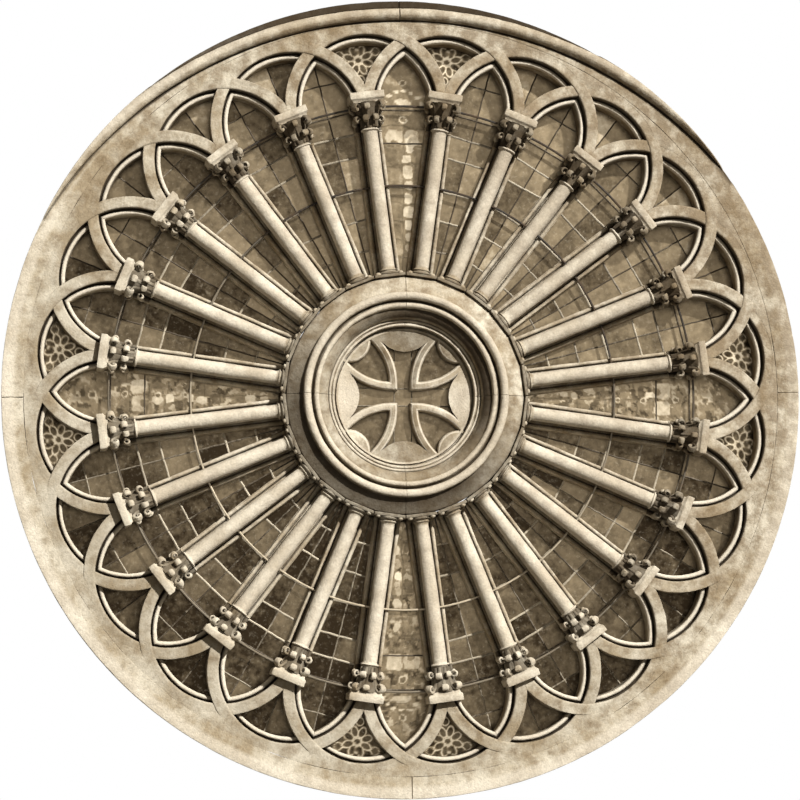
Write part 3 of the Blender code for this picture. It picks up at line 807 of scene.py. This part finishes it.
def colonnette_mesh(variant):
    """Column, mullion, plinth and capital; the last two variants have leaves painted paler, as painted
    light.
    """
    shell = Shell()
    rings = np.array(shaft_rings())
    along = rings[:, 0]
    # Painted shade darkens the bell under the abacus; the necking ring is paler and the base darker.
    grime_and_shade = np.where(along > NECK, 0.88, np.where(along < 0.98, 0.55, 0.30))
    grime_and_shade = np.where(along < 0.94, 0.80, grime_and_shade)
    grime_and_shade = np.where((along > 2.010) & (along < 2.040), 0.22, grime_and_shade)
    # The mullion's tone is kept pale, as painted light in the shade of its shaft.
    for grid, tone in ((lathe(rings), grime_and_shade[:, None]), (mullion_grid(), 0.45), (abacus_grid(), 0.40),
                       (plinth_grid(), 0.78), (glass_bed_grid(), 0.78)):
        shell.tube(grid, tone)
    capital_leaves(shell, random.Random(80 + variant), variant > 1)
    for hand in (-1, 1):
        small_capital(shell, hand)
        spur = lathe(bulge(0.919, 0.017, 0.0, 0.021), 12, PLINTH_FRONT + 0.026, hand * 0.085)
        shell.grid(spur, round_v=True)
    mesh = shell.mesh(f"colonnette_{variant}")
    weather(mesh, (0.0022, 5.0, 31 + variant), (0.0018, 24.0, 41 + variant))
    return mesh


def build_colonnettes():
    """Two darker and two paler variants; the paler ones, painted light, stand in the lower left half.
    """
    meshes = [colonnette_mesh(variant) for variant in range(4)]
    for i in range(BAYS):
        angle = (i + 0.5) * BAY
        # Columns towards the lower left get the variants with painted light.
        painted_lit_side = cos(angle - radians(225)) > 0.1
        add_piece(f"colonnette_stone_{i + 1:02d}", meshes[i % 2 + 2 * painted_lit_side], "carved_stone",
                  f"colonnette_{i + 1:02d}", angle=angle)


# ---------------------------------------------------------------- hub
def hub_profile():
    """Outside, sloped band, outer roll, quirk, inner roll, hollow, fillets, inside."""
    return ([(HUB_OUTER, HUB_BACK), (HUB_OUTER, 0.101), (HUB_OUTER - 0.003, 0.095),
             (HUB_OUTER - 0.008, 0.091), (0.830, 0.074), (0.784, 0.062), (0.774, 0.060)]
            + arc(0.7415, 0.0310, 0.0300, -40, 205, 14)
            + [(0.710, 0.056), (0.705, 0.064), (0.699, 0.060), (0.6935, 0.050)]
            + arc(0.6715, 0.0465, 0.0190, -10, 195, 9)
            + [(0.6505, 0.056), (0.6475, 0.066)]
            + [(0.6475 - 0.072 * sin(t), 0.152 - 0.086 * cos(t))
               for t in np.radians((14, 32, 50, 68, 84))]
            + [(0.5745, 0.151), (0.571, 0.1455), (0.567, 0.143), (0.560, 0.143), (0.556, 0.148),
               (0.553, 0.160), (0.548, 0.160), (0.545, 0.153), (0.541, 0.151), (0.533, 0.151),
               (HUB_INNER + 0.001, 0.156), (HUB_INNER, 0.170), (HUB_INNER, HUB_BACK)])


def hub_painted_light_and_shade(angles, out, depth):
    """Painted light and shade on the hub: shade in the hollow, the quirk and the slope at lower left,
    pale rolls.
    """
    shaded = facing(angles, 28, 0.5, -0.9)
    painted_shadow_side = facing(angles, 50, 0.25, 0.9)
    slope = np.interp(out, (0.765, 0.770, 0.800, 0.825, HUB_OUTER - 0.004, HUB_OUTER),
                      (0, 0.5, 0.52, 0.46, 0.36, 0))
    # Painted shade on the slope at the lower left, and in the hollow at the upper right.
    crust = 0.5 + slope * shaded + 0.42 * painted_shadow_side * (out > 0.585) * (out < 0.648)
    # Painted highlights on the rolls, painted shade in the quirk and the hollow.
    bands = ((0.713, 0.768, -0.22),     # outer roll
             (0.652, 0.692, -0.20),     # inner roll
             (0.696, 0.7115, 0.36),     # quirk between them
             (0.5755, 0.649, 0.14))     # hollow
    for low, high, soot_and_shade in bands:
        crust = crust + soot_and_shade * (out > low) * (out < high)
    # A painted highlight on the fillets inside the hollow.
    return crust - 0.24 * (out < 0.5755) * (depth < 0.155)


def build_hub():
    """The ring, with a groove at each joint of its four stones."""
    profile = refined(hub_profile(), 0.030)
    out, depth = profile.T
    joint, groove = 0.0030 / HUB_OUTER, (0, 0.005, 0)
    quarter = np.array([0, joint, *np.linspace(0, pi / 2, 49)[1:-1], pi / 2 - joint])
    angles = np.concatenate([quarter + radians(90 * i) for i in range(4)])
    grid = ring_grid(profile, angles)
    face = (depth < HUB_BACK - 0.02) & (out > HUB_INNER + 0.001)
    grid[np.ix_(range(0, len(angles), len(quarter)), face)] += groove
    shell = Shell()
    shell.grid(grid, round_u=True, round_v=True, tone=hub_painted_light_and_shade(angles, out, depth))
    mesh = shell.mesh("hub")
    weather(mesh, (0.0022, 5.0, 51), (0.0018, 22.0, 52))
    add_piece("hub_stone", mesh, "carved_stone", "hub_ring")


# ---------------------------------------------------------------- cross in the hub
BAR_ACROSS = 0.558              # centre of the circle that a bar lies on, beside an arm's axis
BAR_ALONG = 0.092               # and along it
BAR_OUT = 0.513                 # radius of the bar's side towards the arm
BAR_WIDTH = 0.068
ARM_LENGTH = 0.418              # along the axis, to the corners of an arm's end
ARM_END = 0.346                 # and to its middle
EYE_LENGTH = 0.412              # the same of an eye's end, where the corner lies on the bar
EYE_END = 0.421                 # and its middle on the diagonal


def circles_meet(a, ra, b, rb, near):
    """The point, nearest to `near`, where two circles cross."""
    a, b = Vector(a), Vector(b)
    apart = (b - a).length
    along = (ra ** 2 - rb ** 2 + apart ** 2) / (2 * apart)
    lift = sqrt(max(ra ** 2 - along ** 2, 0))
    axis = (b - a) / apart
    foot = a + axis * along
    options = [foot + Vector((-axis.y, axis.x)) * lift * s for s in (1, -1)]
    return min(options, key=lambda p: (p - Vector(near)).length)


def off_axis(axis, hand, point):
    """Turns (across, along) about an axis into (x, z)."""
    across, along = point
    return Vector((along * sin(axis) + hand * across * cos(axis),
                   along * cos(axis) - hand * across * sin(axis)))


def lens_centre(tip, corner):
    """How far out the centre of an arc lies that passes its tip and a corner (across, along)."""
    across, along = corner
    return (along ** 2 + across ** 2 - tip ** 2) / (2 * (along - tip))


def side_point(radius, along):
    """A point (across, along) on the side of a bar."""
    return BAR_ACROSS - sqrt(radius ** 2 - (along - BAR_ALONG) ** 2), along


def foot_along(radius):
    """Where the sides of two neighbouring arms meet, on their diagonal."""
    total = BAR_ACROSS + BAR_ALONG
    rest = BAR_ACROSS ** 2 + BAR_ALONG ** 2 - radius ** 2
    return (total - sqrt(total ** 2 - 2 * rest)) / 2


def half_outline(radius, lens, lens_r, near, steps):
    """(across, along) from the foot up one bar and round the lens to the axis."""
    corner = circles_meet((BAR_ACROSS, BAR_ALONG), radius, lens, lens_r, near)
    lens_axis = Vector(lens).normalized()
    start = asin((foot_along(radius) - BAR_ALONG) / radius)
    end = asin((corner.y - BAR_ALONG) / radius)
    side = [(BAR_ACROSS - radius * cos(t), BAR_ALONG + radius * sin(t))
            for t in np.linspace(start, end, steps)]
    spoke = corner - Vector(lens)
    tip = -lens_axis * lens_r
    sweep = atan2(spoke.x * tip.y - spoke.y * tip.x, spoke.dot(tip))
    round_end = []
    for t in np.linspace(0, sweep, steps // 2 + 1)[1:]:
        round_end.append((lens[0] + spoke.x * cos(t) - spoke.y * sin(t),
                          lens[1] + spoke.x * sin(t) + spoke.y * cos(t)))
    return side + round_end


def arm_outline(grow, steps=14):
    """The cross, open in the middle, grown by an amount on every side."""
    corner = side_point(BAR_OUT, ARM_LENGTH)
    centre = lens_centre(ARM_END, corner)
    half = half_outline(BAR_OUT - grow, (0.0, centre), centre - ARM_END - grow, corner, steps)
    outline = []
    for arm in range(4):
        axis = radians(90 * arm)
        outline += [off_axis(axis, -1, p) for p in half]
        outline += [off_axis(axis, 1, p) for p in reversed(half[:-1])][:-1]
    return outline


def eye_outline(quarter, grow, steps=14):
    """The small opening behind two bars, on a diagonal, grown on every side."""
    inner = BAR_OUT - BAR_WIDTH
    corner = Vector(side_point(inner, EYE_LENGTH))
    slant = Vector((1, 1)).normalized()
    off, out = abs(corner.x - corner.y) / sqrt(2), corner.dot(slant)
    centre = lens_centre(EYE_END, (off, out))
    half = half_outline(inner + grow, tuple(slant * centre), centre - EYE_END - grow, corner, steps)
    axis = radians(90 * quarter)
    before = [off_axis(axis, 1, p) for p in half]
    after = [off_axis(axis + pi / 2, -1, p) for p in reversed(half[:-1])][:-1]
    return before + after


def crossings(point, loops):
    """How many sides of the loops a line from the point to the right meets."""
    count = 0
    for loop in loops:
        for a, b in zip(loop, loop[1:] + loop[:1]):
            if (a[1] > point[1]) != (b[1] > point[1]):
                count += a[0] + (point[1] - a[1]) * (b[0] - a[0]) / (b[1] - a[1]) > point[0]
    return count


def fill_between(shell, loops, depth):
    """Closes the plane between the first loop and the openings inside it."""
    points, sides = [], []
    for loop in loops:
        first, count = len(points), len(loop)
        points += [Vector(p) for p in loop]
        sides += [(first + i, first + (i + 1) % count) for i in range(count)]
    corners, _, triangles, _, _, _ = delaunay_2d_cdt(points, sides, [], 1, 1e-7)
    corners = np.array([tuple(c) for c in corners])
    base = shell.count
    shell.grid(world(corners[:, 0], depth, corners[:, 1])[None, :, :])
    for triangle in triangles:
        if crossings(corners[list(triangle)].mean(axis=0), loops) % 2:
            shell.faces.append([base + i for i in triangle])
            shell.slots.append(0)


def slab_grime_and_painted_light(mesh, depth):
    """Dirties the flat face of the slab, a little more towards the upper right; its left and right
    sides stay pale, as painted light.
    """
    tones = mesh.attributes["tone"].data
    for vertex in mesh.vertices:
        if abs(vertex.co.y - FRONT_Y - depth) < 1e-5:
            x, z = vertex.co.x, vertex.co.z - CENTRE_Z
            out = sqrt(x * x + z * z)
            tones[vertex.index].value = 0.72 - 0.50 * abs(x / out) ** 4 + 0.05 * (x + z) / out


def build_cross():
    """The slab: its edge, the sides of its openings, and its flat front and back."""
    face = CROSS_FRONT + 0.003
    edge = [(CROSS_EDGE, CROSS_BACK), (CROSS_EDGE, 0.216), (CROSS_EDGE - 0.002, 0.213),
            (0.5165, 0.213), (0.5135, 0.203), (0.511, CROSS_FRONT + 0.0002),
            (0.502, CROSS_FRONT + 0.0002), (0.4985, face - 0.001), (0.494, face)]
    steps = [(0.0, CROSS_BACK), (0.0, 0.262), (0.0, 0.238), (0.003, 0.224), (0.009, 0.212),
             (0.016, 0.2055), (0.022, face)]
    # The sides of the openings darken towards the back, painted shade in the openings; their front
    # arris is worn pale.
    tones = np.array([0.8, 0.8, 0.75, 0.55, 0.35, 0.12, 0.15])[:, None]
    turns = np.linspace(0, 2 * pi, 180, endpoint=False)
    outlines = [arm_outline] + [lambda grow, q=q: eye_outline(q, grow) for q in range(4)]
    shell = Shell()

    def flat_side(radius, grow, depth):
        round_edge = [(radius * sin(t), radius * cos(t)) for t in turns]
        fill_between(shell, [round_edge] + [[tuple(p) for p in outline(grow)] for outline in outlines],
                     depth)

    flat_side(0.494, steps[-1][0], face)
    shell.grid(ring_grid(np.array(edge), turns), round_u=True, tone=0.36)
    for outline in outlines:
        rows = [(np.array(outline(grow)), depth) for grow, depth in steps]
        sides = np.stack([world(row[:, 0], depth, row[:, 1]) for row, depth in rows])
        shell.grid(sides, round_v=True, tone=tones)
    flat_side(CROSS_EDGE, 0.0, CROSS_BACK)
    mesh = shell.mesh("cross", merge=1e-5)
    slab_grime_and_painted_light(mesh, face)
    weather(mesh, (0.0016, 9.0, 61))
    add_piece("cross_stone", mesh, "carved_stone", "cross_tracery", smooth=35)


# ---------------------------------------------------------------- leaded glass
def border(grid):
    """The outer points of a grid, in order."""
    return np.concatenate((grid[0, :-1], grid[:-1, -1], grid[-1, :0:-1], grid[:0:-1, 0]))


def flank(along):
    """Half the width of a light between its mullions."""
    return (along * sin(BAY / 2) - MULLION_HALF) / cos(BAY / 2)


def quarry_tone(dice, angle):
    """Brown panes, darker towards the lower left, with some very dark and a few pale ones."""
    pick, lean = dice.random(), 0.19 + 0.14 * cos(angle - radians(20))
    if pick < 0.32:
        return max(lean - dice.uniform(0.08, 0.20), -0.04)
    if pick < 0.82:
        return lean + dice.uniform(-0.04, 0.04)
    return lean + dice.uniform(0.08, 0.20)


def lead_tone(dice, angle, across):
    """Leads across are crusted and painted pale, as light that keeps them bright in shade; the one
    along is barer, above all at the top.
    """
    lean = 0.47 + 0.07 * cos(angle - radians(200)) if across else 0.21 - 0.15 * cos(angle)
    return lean + dice.uniform(-0.10, 0.10)


def wobbly(start, end, dice, steps=8, amount=0.0016):
    """Points on a hand-bent line, straight at both ends."""
    out = []
    for i in range(steps + 1):
        share = i / steps
        loose = amount * min(share, 1 - share) * 4
        out.append((start[0] + (end[0] - start[0]) * share + dice.uniform(-1, 1) * loose,
                    start[1] + (end[1] - start[1]) * share + dice.uniform(-1, 1) * loose))
    return out


class Panel:
    """Panes and leads of one panel: its shell, its two depths, its clockwise angle and its dice."""

    def __init__(self, shell, depths, angle, seed):
        self.shell, self.depths, self.angle = shell, depths, angle
        self.dice = random.Random(seed)

    def came(self, points, tone, half_width=CAME, thick=0.007):
        """A lead along (across, along) points, rounded on both faces."""
        points = np.array(points, float)
        normal = normals_along(points)
        t = np.linspace(0, 2 * pi, 8, endpoint=False)
        side = half_width * np.cos(t)
        rounds = world(points[:, :1] + normal[:, :1] * side,
                       sum(self.depths) / 2 + thick * np.sin(t),
                       points[:, 1:] + normal[:, 1:] * side)
        self.shell.tube(turned(rounds, self.angle), tone, slot=1)

    def lead(self, start, end, steps=8, paler=0.0, half_width=CAME):
        """A hand-bent lead with the tone that leads have in this part of the window."""
        line = wobbly(start, end, self.dice, steps)
        tone = lead_tone(self.dice, self.angle, start[0] != end[0])
        self.came(line, tone + paler, half_width)

    def edge_lead(self, half):
        """Thick lead on the joint of a light and its head, which lie one behind the other."""
        self.came([(-half, LIGHT_TOP - 0.004), (half, LIGHT_TOP - 0.004)], tone=0.20, thick=0.0088)

    def pane(self, across, along, tones, lean=0.0):
        """A thin pane with the tones of its face, its rear and its edge."""
        front, back = self.depths
        face = world(across, front + PANE_INSET + lean, along)
        rear = world(across, back - PANE_INSET + lean, along)
        edge = np.stack((border(face), border(rear)))
        for grid, tone in zip((face, rear, edge), tones):
            self.shell.grid(turned(grid, self.angle), round_v=grid is edge, tone=tone)

    def quarry(self, edges, low, high, tone, rows=5, cols=4):
        """A pane between two edge functions of `along`, slightly tilted in its leads."""
        along = np.linspace(low, high, rows)[:, None]
        left, right = (np.vectorize(edge)(along) for edge in edges)
        across = left + (right - left) * np.linspace(0, 1, cols)[None, :]
        tilt_x, tilt_z = self.dice.uniform(-1, 1) * 0.012, self.dice.uniform(-1, 1) * 0.012
        lean = (across - across.mean()) * tilt_x + (along - along.mean()) * tilt_z
        self.pane(across, along, (tone, tone, tone), lean)

    def pair(self, half_width, low, high, paler=0.0, rows=5):
        """Two quarries, one on either side of the lead along the middle."""
        for hand in (-1, 1):
            edges = (lambda along: hand * PANE_GAP, lambda along: hand * half_width(along))
            tone = quarry_tone(self.dice, self.angle) + paler
            self.quarry(edges[::hand], low, high, tone, rows)

    def sheet(self, half_width, low, high, paint, step=0.0085, cols=36):
        """A pane whose painting, a function of across and along, is carried by a fine grid."""
        along = np.linspace(low, high, int((high - low) / step))[:, None]
        across = np.vectorize(half_width)(along) * np.linspace(-1, 1, cols)[None, :]
        along = along + 0 * across
        self.pane(across, along, (paint(across, along), 0.3, 0.4))


def build_plain_light(panel):
    """Two rows of quarries with a lead between them and five leads across."""
    rows = [LIGHT_BOTTOM + PANE_GAP, *LEADS, LIGHT_TOP - PANE_GAP]
    for low, high in zip(rows, rows[1:]):
        panel.pair(lambda along: flank(along) - 0.001, low + PANE_GAP, high - PANE_GAP)
    panel.lead((0, rows[0]), (0, rows[-1]), steps=30)
    for along in LEADS:
        half = flank(along) - 0.002
        shift = panel.dice.uniform(-0.006, 0.006)
        panel.lead((-half, along - shift), (half, along + shift), half_width=CROSS_CAME)


def clouds(x, z, grain, seed):
    """Smooth noise of about -1 to 1 over arrays of places."""
    flat = [noise.fractal((a * grain + seed, b * grain, seed * 1.7), 0.8, 2.1, 3)
            for a, b in zip(x.ravel(), z.ravel())]
    return np.array(flat).reshape(x.shape)


def painted_tone(x, z, kind):
    """Generic figures on a mottled ground: panes with curved borders, a column of pale
    blocks and ovals, ring medallions, and a curved row of ovals in the head."""
    x = x + 0.012 * clouds(x, z, 9.0, kind + 21.0)
    z = z + 0.014 * clouds(x, z, 8.0, kind + 33.0)
    tone = 0.40 + 0.14 * clouds(x, z, 6.0, kind + 3.0) + 0.12 * clouds(x, z, 22.0, kind + 5.0)

    def paint(distance, value, soft=0.22):
        nonlocal tone
        cover = np.clip((1 - distance) / soft, 0, 1)
        tone = tone + cover * (value - tone)

    def block(across, along, wide, tall, value, power=2.0):
        paint(np.abs((x - across) / wide) ** power + np.abs((z - along) / tall) ** power, value)

    dice = random.Random(500 + kind)
    leafy = kind != 0
    for i in range(8):
        along = 1.05 + 0.145 * i
        curve = along + 0.012 * np.cos(16 * x + i + kind)
        paint(np.abs(z - curve) / 0.008, 0.24, 0.6)
        block(dice.uniform(-0.09, -0.03), along + 0.075, 0.045, 0.050, dice.uniform(0.22, 0.52), 4.0)
    if leafy:
        paint(1.2 - 2.2 * (clouds(x, z, 15.0, kind + 8.0) - 0.10), 0.60, 0.25)
        paint(1.2 - 2.2 * (clouds(x, z, 17.0, kind + 14.0) - 0.22), 0.14, 0.25)
    side = 0.038 if kind % 2 == 0 else -0.032
    paint(np.abs(x - 0.05 * side) / 0.006 + 9.0 * (z > 1.93), 0.26, 0.6)
    along = 1.10
    while along < 1.88:
        tall = dice.uniform(0.026, 0.048)
        along += tall + 0.008
        if not leafy or dice.random() < 0.6:
            block(side + dice.uniform(-0.008, 0.012), along, dice.uniform(0.024, 0.040), tall,
                  dice.uniform(0.62, 0.82), dice.choice((2.0, 4.0)))
        along += tall + 0.008
    block(-0.066, 1.990, 0.064, 0.056, 0.66, 4.0)
    block(0.064, 1.985, 0.058, 0.066, 0.70, 4.0)
    block(-0.062, 1.945, 0.030, 0.030, 0.36)
    rings = ((0.0, 2.120, 0.036), (0.0, 2.405, 0.026)) if kind in (0, 2) else \
        ((0.0, 2.330, 0.038), (0.0, 1.845, 0.030), (0.0, 1.640, 0.022), (0.0, 2.09, 0.026))
    for across, along, size in rings:
        block(across, along, size, size, 0.72)
        block(across, along, 0.58 * size, 0.58 * size, 0.28)
    if kind in (0, 2):
        block(0.0, 2.262, 0.074, 0.028, 0.68)
        block(0.0, 2.212, 0.060, 0.014, 0.18)
        for turn in np.radians((-66, -42, -20, 4, 27, 48, 70)):
            block(0.150 * sin(turn), 2.200 + 0.150 * cos(turn), 0.022, 0.014, 0.76)
    return tone


def rosette_tone(x, z):
    """Eight petals round an eye, with small rings in the corners, pale on dark glass."""
    x = x + 0.003 * clouds(x, z, 12.0, 3.0)
    tone = 0.10 + 0.10 * clouds(x, z, 9.0, 2.0)

    def outline(across, along, out, side, axis=0.0):
        nonlocal tone
        u = (x - across) * sin(axis) + (z - along) * cos(axis)
        v = (x - across) * cos(axis) - (z - along) * sin(axis)
        away = np.abs(np.hypot(u / out, v / side) - 1) * min(out, side)
        tone = np.maximum(tone, 0.80 * np.clip(1.5 - away / 0.0052, 0, 1))

    for i in range(8):
        axis = 2 * pi * (i + 0.5) / 8
        outline(0.074 * sin(axis), 2.600 + 0.074 * cos(axis), 0.042, 0.025, axis)
    outline(0.0, 2.600, 0.024, 0.024)
    for across, along, size in ((-0.140, 2.655, 0.030), (0.140, 2.655, 0.030), (0.0, 2.452, 0.030),
                                (0.0, 2.392, 0.020), (0.100, 2.500, 0.018), (-0.100, 2.500, 0.018)):
        outline(across, along, size, size)
    return tone


def build_painted_light(panel, kind):
    panel.sheet(lambda along: flank(along) - 0.001, LIGHT_BOTTOM + PANE_GAP, LIGHT_TOP - PANE_GAP,
                lambda x, z: painted_tone(x, z, kind))
    for along in (LEADS[2], LEADS[4] - 0.09):
        half = flank(along) - 0.002
        panel.came(wobbly((-half, along), (half, along), panel.dice), tone=0.15)


def build_lights():
    for index in range(BAYS):
        shell = Shell()
        panel = Panel(shell, LIGHT_GLASS, index * BAY, 100 + index)
        if index in PAINTED:
            build_painted_light(panel, index // 6)
        else:
            build_plain_light(panel)
        panel.edge_lead(flank(LIGHT_TOP) - 0.001)
        add_piece(f"light_panel_{index + 1:02d}", shell.mesh(f"light_{index + 1}"), "leaded_glass",
                  f"light_glazing_{index + 1:02d}", smooth=30)


def head_edge(along):
    """Half the width of a light's head, to the middle of the arch bars."""
    rise = along - SPRING_R * cos(BAY / 2)
    return max(sqrt(max(ARCH_MIDDLE ** 2 - rise ** 2, 0)) - SPRING_R * sin(BAY / 2), 0.001)


def spandrel_edge(along):
    """Half the width of a spandrel, to the middle of the arch bars."""
    rise = along - SPRING_R * cos(BAY)
    side = SPRING_R * sin(BAY) - sqrt(max(ARCH_MIDDLE ** 2 - rise ** 2, 0))
    crown = sqrt(max(ARCH_MIDDLE ** 2 - (along - SPRING_R) ** 2, 0))
    return max(min(side, crown), 0.001)


def build_heads(shell):
    """A painted sheet over a painted light, else two pairs of quarries."""
    low, top = LIGHT_TOP - 0.008, SPRING_R * cos(BAY / 2) + 0.49
    for index in range(BAYS):
        panel = Panel(shell, OUTER_GLASS, index * BAY, 200 + index)
        panel.edge_lead(flank(LIGHT_TOP) + 0.020)
        if index in PAINTED:
            panel.sheet(head_edge, low, top, lambda x, z: painted_tone(x, z, index // 6))
            continue
        for start, end in ((low, HEAD_LEAD), (HEAD_LEAD, top)):
            panel.pair(lambda along: max(head_edge(along), 0.004), start + PANE_GAP, end - PANE_GAP,
                       paler=0.05, rows=8)
        panel.lead((0, low), (0, top), steps=14)
        half = head_edge(HEAD_LEAD)
        panel.lead((-half, HEAD_LEAD), (half, HEAD_LEAD), paler=-0.15)


def build_spandrels(shell):
    """A rosette beside each painted light, else one pair of quarries."""
    low, high = 2.34, 2.785
    for column in range(BAYS):
        angle = (column + 0.5) * BAY
        panel = Panel(shell, OUTER_GLASS, angle, 300 + column)
        if column in ROSETTES:
            panel.sheet(spandrel_edge, low, high, rosette_tone, step=0.0065, cols=44)
            continue
        # Panes towards the upper right are painted paler, as painted light against the shadows of the
        # arch bars.
        paler = 0.05 + 0.09 * max(cos(angle - radians(45)), 0)
        panel.pair(lambda along: max(spandrel_edge(along), 0.004), low, high, paler, rows=14)
        panel.lead((0, low), (0, high), steps=12)


def build_outer_glass():
    shell = Shell()
    build_heads(shell)
    build_spandrels(shell)
    add_piece("head_and_spandrel_panels", shell.mesh("outer_glass"), "leaded_glass",
              "outer_glazing", smooth=30)


def build_hub_glass():
    """Panes of the cross: a square in the middle, the arms and the corners."""
    shell = Shell()
    panel = Panel(shell, HUB_GLASS, 0.0, 400)

    def limit(side):
        """An edge at that distance from the axis, cut off by the round of the panel."""
        def edge(along):
            chord = sqrt(max((HUB_GLASS_R * 0.99) ** 2 - along ** 2, 1e-6))
            return np.sign(side) * min(abs(side), chord)
        return edge

    half, end = 0.066, HUB_GLASS_R * 0.97
    cuts = (-HUB_GLASS_R * 0.985, -half, half, HUB_GLASS_R * 0.985)
    for low, high in zip(cuts, cuts[1:]):
        for left, right in zip(cuts, cuts[1:]):
            tone = 0.30 if left == -half or low == -half else 0.20
            tone += panel.dice.uniform(-0.04, 0.04)
            panel.quarry((limit(left), limit(right)), low, high, tone, rows=12, cols=6)
    for place in (-half, half):
        for line in (((-end, place), (end, place)), ((place, -end), (place, end))):
            bent = wobbly(*line, panel.dice, steps=14, amount=0.0008)
            panel.came(bent, tone=0.35, half_width=0.0050)
    add_piece("hub_panel", shell.mesh("hub_glass"), "leaded_glass", "hub_glazing", smooth=30)


def build_irons():
    """Hand-forged square bars in two rings, with softened corners."""
    angles = np.linspace(0, 2 * pi, 192, endpoint=False)
    low_side = facing(angles, 20, 0.45, -0.75)
    soft = 0.004
    for name, crusted in (("saddle_iron_inner", 0.80), ("saddle_iron_outer", 0.30)):
        outer, front, back = reach(name)
        middle, half = outer - IRON_WIDTH / 2, IRON_WIDTH / 2 - 0.0035 - soft
        front, back = front + 0.001 + soft, back - 0.001 - soft
        profile = []
        for radius, depth, start in ((middle + half, front, 0), (middle - half, front, 90),
                                     (middle - half, back, 180), (middle + half, back, 270)):
            profile += arc(radius, depth, soft, start, start + 90, 3)
        shell = Shell()
        shell.grid(ring_grid(np.array(profile), angles), round_u=True, round_v=True,
                   tone=low_side * crusted)
        mesh = shell.mesh(name)
        weather(mesh, (0.0012, 9.0, 71))
        add_piece(f"{name}_bar", mesh, "wrought_iron", name)


# ---------------------------------------------------------------- studio
def build_floor():
    """Ground in front of the window, which throws no light back on it."""
    wide, behind, drop = 40, 0.4, cad_low.z - 0.05
    mesh = bpy.data.meshes.new("floor")
    mesh.from_pydata([(-wide, -wide, drop), (wide, -wide, drop), (wide, behind, drop),
                      (-wide, behind, drop)], [], [(0, 1, 2, 3)])
    floor = new_object("floor", mesh)
    material, nodes, _, _ = new_material("pale_floor")
    shader = nodes.tree.nodes["Principled BSDF"]
    nodes.feed(shader.inputs["Base Color"], (0.80, 0.79, 0.77, 1.0))
    nodes.feed(shader.inputs["Roughness"], 0.9)
    mesh.materials.append(material)
    floor.visible_diffuse = False


def add_lamp(name, kind, source, energy, colour):
    """A lamp whose light comes from the direction of source."""
    light = bpy.data.lights.new(name, kind)
    light.energy = energy
    light.color = colour
    lamp = new_object(name, light)
    lamp.rotation_euler = Vector(source).to_track_quat("Z", "Y").to_euler()
    return lamp


def build_lamps():
    """A sun from the upper right in front, a weak one from behind, and a soft disk far in front."""
    tilt, turn = radians(44.5), radians(40)
    source = (sin(tilt) * sin(turn), -cos(tilt), sin(tilt) * cos(turn))
    key = add_lamp("key", "SUN", source, energy=6.1, colour=(1.0, 0.975, 0.92))
    key.data.angle = radians(2.5)
    fill = add_lamp("back_fill", "SUN", (-0.4, 1.0, 0.5), energy=1.0, colour=(1.0, 0.96, 0.90))
    fill.data.angle = radians(20)
    away = Vector((3.5, -30, 4.0))
    softbox = add_lamp("softbox", "AREA", away, energy=1150, colour=(1.0, 0.96, 0.90))
    softbox.data.shape, softbox.data.size = "DISK", 18
    softbox.visible_diffuse = False
    softbox.location = away + Vector((0, FRONT_Y, CENTRE_Z))


def build_sky():
    """Warm light all round, which the camera sees as plain white."""
    sky = bpy.data.worlds.new("studio")
    bpy.context.scene.world = sky
    sky.use_nodes = True
    nodes = Nodes(sky.node_tree)
    light = sky.node_tree.nodes["Background"]
    nodes.feed(light.inputs["Color"], (1.0, 0.90, 0.74, 1.0))
    nodes.feed(light.inputs["Strength"], 0.175)
    white = nodes.add("Background", Color=(1.0, 1.0, 1.0, 1.0), Strength=1.0)
    blend = nodes.add("MixShader")
    seen = nodes.add("LightPath").outputs["Is Camera Ray"]
    for socket, value in zip(blend.inputs, (seen, light.outputs[0], white.outputs[0])):
        nodes.feed(socket, value)
    nodes.feed(sky.node_tree.nodes["World Output"].inputs["Surface"], blend.outputs[0])
    bpy.context.scene.view_settings.view_transform = "Standard"


def build_camera():
    """A long lens a little below and to the left of the window's axis, aimed so that the
    rim just fills the frame."""
    lens = bpy.data.cameras.new("camera")
    lens.lens = 135
    camera = new_object("camera", lens)
    azimuth, elevation = radians(-6.0), radians(-5.5)
    away = Vector((sin(azimuth) * cos(elevation), -cos(azimuth) * cos(elevation), sin(elevation)))
    turn = (-away).to_track_quat("-Z", "Y")
    right, up = turn @ Vector((1, 0, 0)), turn @ Vector((0, 1, 0))
    half_view = lens.sensor_width / 2 / lens.lens
    distance = RADIUS / half_view
    spare = 800 / 798           # width of the picture over that of the window
    target = Vector((0.0, FRONT_Y + DEPTH / 2, CENTRE_Z))
    rim = [Vector(p) for depth in (RIM_FACE, DEPTH)
           for p in ring_grid(np.array([(RADIUS, depth)]), np.linspace(0, 2 * pi, 120))[:, 0]]
    for _ in range(4):
        spot = target + away * distance
        sight = [(p - spot) / (spot - p).dot(away) for p in rim]
        across, high = [v.dot(right) for v in sight], [v.dot(up) for v in sight]
        target += (right * (max(across) + min(across)) + up * (max(high) + min(high))) * distance / 2
        distance *= (max(across) - min(across)) / (2 * half_view) * spare
    camera.location = target + away * distance
    camera.rotation_euler = turn.to_euler()
    bpy.context.scene.camera = camera


def build_all():
    for build in (build_rim, build_arcade, build_colonnettes, build_hub, build_cross, build_lights,
                  build_outer_glass, build_hub_glass, build_irons, build_floor, build_lamps,
                  build_sky, build_camera):
        build()


build_all()
